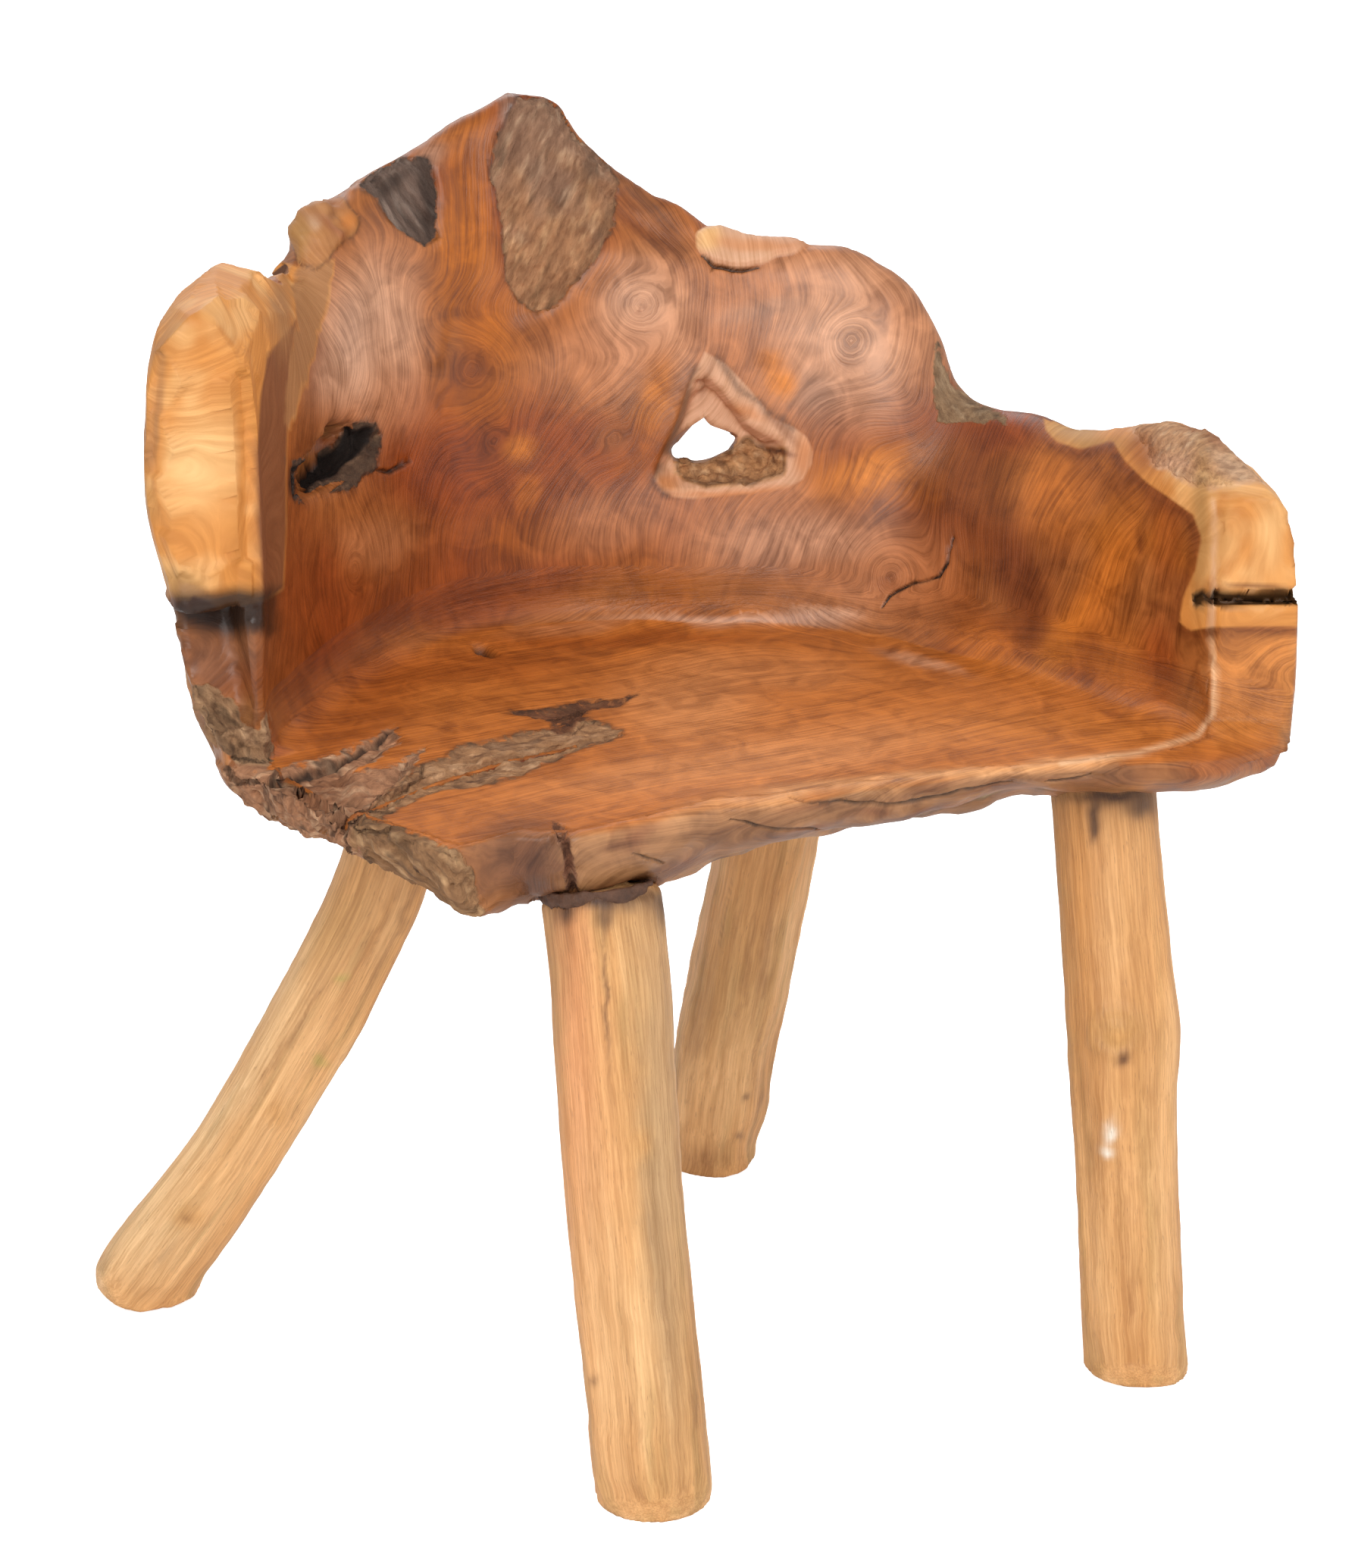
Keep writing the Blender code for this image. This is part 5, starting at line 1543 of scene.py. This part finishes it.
def make_pole(name, wood):
    """A pole leg with its adzed flats, knots, streaks and marks."""
    pole = Piece(name, POLE_CELL)
    pole.seat_on_source(np.ones(len(pole.points), bool))
    pole.soften(0.5 * ease(4.0 * MM, 16.0 * MM, pole.points[:, 2]), 6)
    across, toward, along, radius, right, forward = pole_places(pole)
    seen = 1.0 - ease(4.0 * MM, 16.0 * MM, pole.behind())
    photo = photo_places(pole.points)
    rest = pole.points.copy()
    stretched = np.stack([across, toward, along * POLE_STRETCH], axis=1)
    # The turned tenon at the top is thinner than the pole, and is left as it is
    on_pole = ease(0.75, 0.9, radius / np.median(radius))
    for facing, share in POLE_FLATS[name]:
        turn = math.radians(facing)
        excess = across * math.cos(turn) + toward * math.sin(turn)
        excess -= radius * (share + 0.025 * lumps(stretched, 20.0 * MM, int(facing) % 7 + 40))
        bite = -FLAT_BITE * np.maximum(excess, 0.0) * on_pole
        pole.points += bite[:, None] * (right * math.cos(turn) + forward * math.sin(turn))
    push = 0.9 * MM * lumps(stretched, 16.0 * MM, 51, 2) + 0.35 * MM * lumps(rest, 12.0 * MM, 52, 2)
    for x, y, size, height in POLE_KNOTS.get(name, ()):
        gap = np.hypot(photo[:, 0] - x, photo[:, 1] - y) / size
        push += height * MM * seen * (1.0 - ease(0.7, 1.5, gap)) * (1.0 + 0.6 * np.sin(gap * 7.0))
    push += POLE_GROWTH.get(name, 0.0)
    pole.points += (push * on_pole)[:, None] * pole.normals()
    pole.points = nudged(squared_foot(pole.points), POLE_NUDGES[name])
    pole.points[:, 2] = np.maximum(pole.points[:, 2], 0.0)

    tint = blend(POLE_TAN, POLE_PALE, ease(-0.4, 0.8, lumps(stretched, 14.0 * MM, 54, 2)))
    tint = blend(tint, POLE_OLIVE, 0.6 * ease(0.1, 0.9, lumps(stretched, 9.0 * MM, 53, 3)))
    tint = blend(tint, POLE_BROWN, 0.6 * ease(0.55, 1.1, lumps(stretched, 5.0 * MM, 55, 2)))
    wander = 5.0 * noise_pair(rest, 14.0 * MM, 56, 3)
    pole.keep("tint", stained(tint, photo + wander, seen, POLE_STAINS[name]))
    pole.keep("grain_at", np.stack([across, toward, along], axis=1))
    pole.place(wood)


# Each layer of the poles' streaks: its size across and along the pole, its detail and its share
STREAK_LAYERS = (
    (7.0 * MM, 180.0 * MM, 4.0, 0.5),
    (1.2 * MM, 40.0 * MM, 3.0, 0.5),
)
STREAK_DARK = (0.73, 0.65, 0.55, 1.0)
STREAK_LIGHT = (1.11, 1.12, 1.13, 1.0)
# Pores, as lumps in a metre across and along the pole: 0.9 mm by 10 mm, coarser than they are
PORES = (1100.0, 1100.0, 100.0)


def peeled_pole_wood():
    """Pale teak branch wood, peeled and adzed: long dull streaks and short fibres that run up the pole."""
    material, tree, shader = new_material("teak_pole_peeled_and_adzed")
    tint = add(tree, "Attribute", attribute_name="tint")
    grain = add(tree, "Attribute", out=1, attribute_name="grain_at")
    figure = 0.0
    for across, along, detail, share in STREAK_LAYERS:
        stretch = (1.0 / across, 1.0 / across, 1.0 / along)
        drawn = add(tree, "VectorMath", {0: grain, 1: stretch}, operation="MULTIPLY")
        noise = add(tree, "TexNoise", {"Vector": drawn, "Scale": 1.0, "Detail": detail})
        fibres = add(tree, "MapRange", {0: noise, 1: 0.38, 2: 0.62, 3: 0.0, 4: share})
        figure = add(tree, "Math", {0: figure, 1: fibres}, operation="ADD")
    light = add(tree, "Mix", {0: figure, 6: STREAK_DARK, 7: STREAK_LIGHT}, 2, data_type="RGBA")
    wood = add(tree, "Mix", {0: 1.0, 6: tint, 7: light}, 2, data_type="RGBA", blend_type="MULTIPLY")
    drawn = add(tree, "VectorMath", {0: grain, 1: PORES}, operation="MULTIPLY")
    pores = add(tree, "TexNoise", {"Vector": drawn, "Scale": 1.0, "Detail": 2.0})
    pores = add(tree, "MapRange", {0: pores, 1: 0.63, 2: 0.72, 3: 0.0, 4: 0.4})
    wood = add(tree, "Mix", {0: pores, 6: wood, 7: tone("#8A5F38")}, 2, data_type="RGBA")
    tree.links.new(wood, shader.inputs["Base Color"])
    shader.inputs["Roughness"].default_value = 0.55
    bump = add(tree, "Bump", {"Height": fibres, "Distance": 1.0 * MM, "Strength": 0.5})
    tree.links.new(bump, shader.inputs["Normal"])
    return material


# The fillers: how far each is drawn in towards its middle, and the share of its depth that it keeps
FILLER_CELL = 1.3 * MM
FILLER_SHRINK = 0.10
FILLER_DEPTH = 0.75


def make_filler(name, glue):
    """A filler pressed nearly flush with its pole, with an uneven edge and a lumpy face."""
    filler = Piece(name, FILLER_CELL)
    level = np.array([1.0, 1.0, 0.0])
    off = filler.points * level - filler.points.mean(axis=0) * level
    filler.points -= (FILLER_SHRINK + 0.02 * lumps(filler.points, 14.0 * MM, 62))[:, None] * off
    top = filler.points[:, 2].max()
    filler.points[:, 2] = top - FILLER_DEPTH * (top - filler.points[:, 2])
    filler.points += (1.0 * MM * lumps(filler.points, 6.0 * MM, 61, 2))[:, None] * filler.normals()
    filler.place(glue)


def sawdust_glue():
    """Sawdust and glue, pressed in by hand and dried: dark brown, lumpy and dull."""
    material, tree, shader = new_material("sawdust_and_glue_dried")
    body = add(tree, "TexCoord", out=3)
    lumpy = add(tree, "TexNoise", {"Vector": body, "Scale": 1.0 / (5.0 * MM), "Detail": 5.0})
    shade = add(tree, "Mix", {0: lumpy, 6: tone("#2E1B11"), 7: tone("#6B4630")}, 2, data_type="RGBA")
    tree.links.new(shade, shader.inputs["Base Color"])
    shader.inputs["Roughness"].default_value = 0.7
    bump = add(tree, "Bump", {"Height": lumpy, "Distance": 1.5 * MM, "Strength": 1.0})
    tree.links.new(bump, shader.inputs["Normal"])
    return material


# Fibres of the wedges, as lumps in a metre across and along them: 1.1 mm by 25 mm
WEDGE_FIBRES = (900.0, 900.0, 40.0)


def split_wedge_wood():
    """Teak offcut, split by hand: plain brown with straight fibres."""
    material, tree, shader = new_material("teak_wedge_split")
    body = add(tree, "TexCoord", out=3)
    drawn = add(tree, "VectorMath", {0: body, 1: WEDGE_FIBRES}, operation="MULTIPLY")
    fibres = add(tree, "TexNoise", {"Vector": drawn, "Scale": 1.0, "Detail": 2.0})
    shade = add(tree, "Mix", {0: fibres, 6: tone("#8A5A34"), 7: tone("#B98350")}, 2, data_type="RGBA")
    tree.links.new(shade, shader.inputs["Base Color"])
    shader.inputs["Roughness"].default_value = 0.7
    return material


def make_legs():
    """The four poles, the filler round each one's top, and the wedge hidden in its tenon."""
    wood = peeled_pole_wood()
    glue = sawdust_glue()
    wedge_wood = split_wedge_wood()
    for side in ("front_left", "front_right", "rear_right", "rear_left"):
        make_pole("leg_" + side, wood)
        make_filler("filler_" + side, glue)
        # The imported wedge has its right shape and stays
        wedge = frame["nodes"]["wedge_" + side]
        wedge.data.materials.clear()
        wedge.data.materials.append(wedge_wood)


# The lamps: name, place from the seat's centre, size in metres and power in watts
LAMPS = (
    ("key_light", (-1.6, -2.4, 2.6), 2.2, 80.0),
    ("fill_light", (2.2, -1.9, 1.4), 3.2, 26.0),
    ("back_light", (0.4, 2.4, 2.2), 2.0, 25.0),
)
LIT_HEIGHT = 0.35
WORLD_STRENGTH = 0.6
FLOOR_HALF = 6.0
FLOOR_GLOW = 0.8
WHITE = (1.0, 1.0, 1.0, 1.0)


def make_light():
    """A big soft lamp high on the left, a fill from the right, one from behind, and an even white world."""
    for name, place, size, power in LAMPS:
        lamp = bpy.data.lights.new(name, "AREA")
        lamp.shape = "SQUARE"
        lamp.size = size
        lamp.energy = power
        holder = bpy.data.objects.new(name, lamp)
        holder.location = SEAT_CENTRE + Vector(place)
        aim = SEAT_CENTRE + Vector((0.0, 0.0, LIT_HEIGHT)) - holder.location
        holder.rotation_euler = aim.to_track_quat("-Z", "Y").to_euler()
        bpy.context.scene.collection.objects.link(holder)

    world = bpy.data.worlds.new("studio")
    bpy.context.scene.world = world
    world.use_nodes = True
    tree = world.node_tree
    surround = tree.nodes["Background"]
    surround.inputs["Color"].default_value = WHITE
    # The camera sees it white, and the chair is lit by less
    strength = add(tree, "Mix", {0: add(tree, "LightPath"), 2: WORLD_STRENGTH, 3: 1.0})
    tree.links.new(strength, surround.inputs["Strength"])


def make_floor():
    """A white paper floor: plain, matt and nearly shadowless."""
    material, tree, shader = new_material("white_paper_matt")
    shader.inputs["Base Color"].default_value = tone("#F4F4F4")
    shader.inputs["Roughness"].default_value = 0.9
    glow = add(tree, "Math", {0: add(tree, "LightPath"), 1: FLOOR_GLOW}, operation="MULTIPLY")
    shader.inputs["Emission Color"].default_value = WHITE
    tree.links.new(glow, shader.inputs["Emission Strength"])
    mesh = bpy.data.meshes.new("paper_floor")
    corners = []
    for across, back in ((-1.0, -1.0), (1.0, -1.0), (1.0, 1.0), (-1.0, 1.0)):
        corners.append((SEAT_CENTRE.x + across * FLOOR_HALF, SEAT_CENTRE.y + back * FLOOR_HALF, 0.0))
    mesh.from_pydata(corners, [], [(0, 1, 2, 3)])
    mesh.materials.append(material)
    floor = bpy.data.objects.new("paper_floor", mesh)
    bpy.context.scene.collection.objects.link(floor)


def make_camera():
    """The camera at the photograph's place, with its lens."""
    lens = bpy.data.cameras.new("photograph_view")
    lens.sensor_fit = "VERTICAL"
    lens.sensor_height = SENSOR_HEIGHT
    lens.lens = SENSOR_HEIGHT * FOCAL_PIXELS / PHOTO_HEIGHT
    camera = bpy.data.objects.new("photograph_view", lens)
    turned = Matrix((RIGHTWARD, UPWARD, BACKWARD)).transposed()
    camera.matrix_world = Matrix.Translation(EYE) @ turned.to_4x4()
    bpy.context.scene.collection.objects.link(camera)
    bpy.context.scene.camera = camera


make_root()
make_legs()
make_light()
make_floor()
make_camera()
bpy.context.scene.view_settings.view_transform = "Standard"
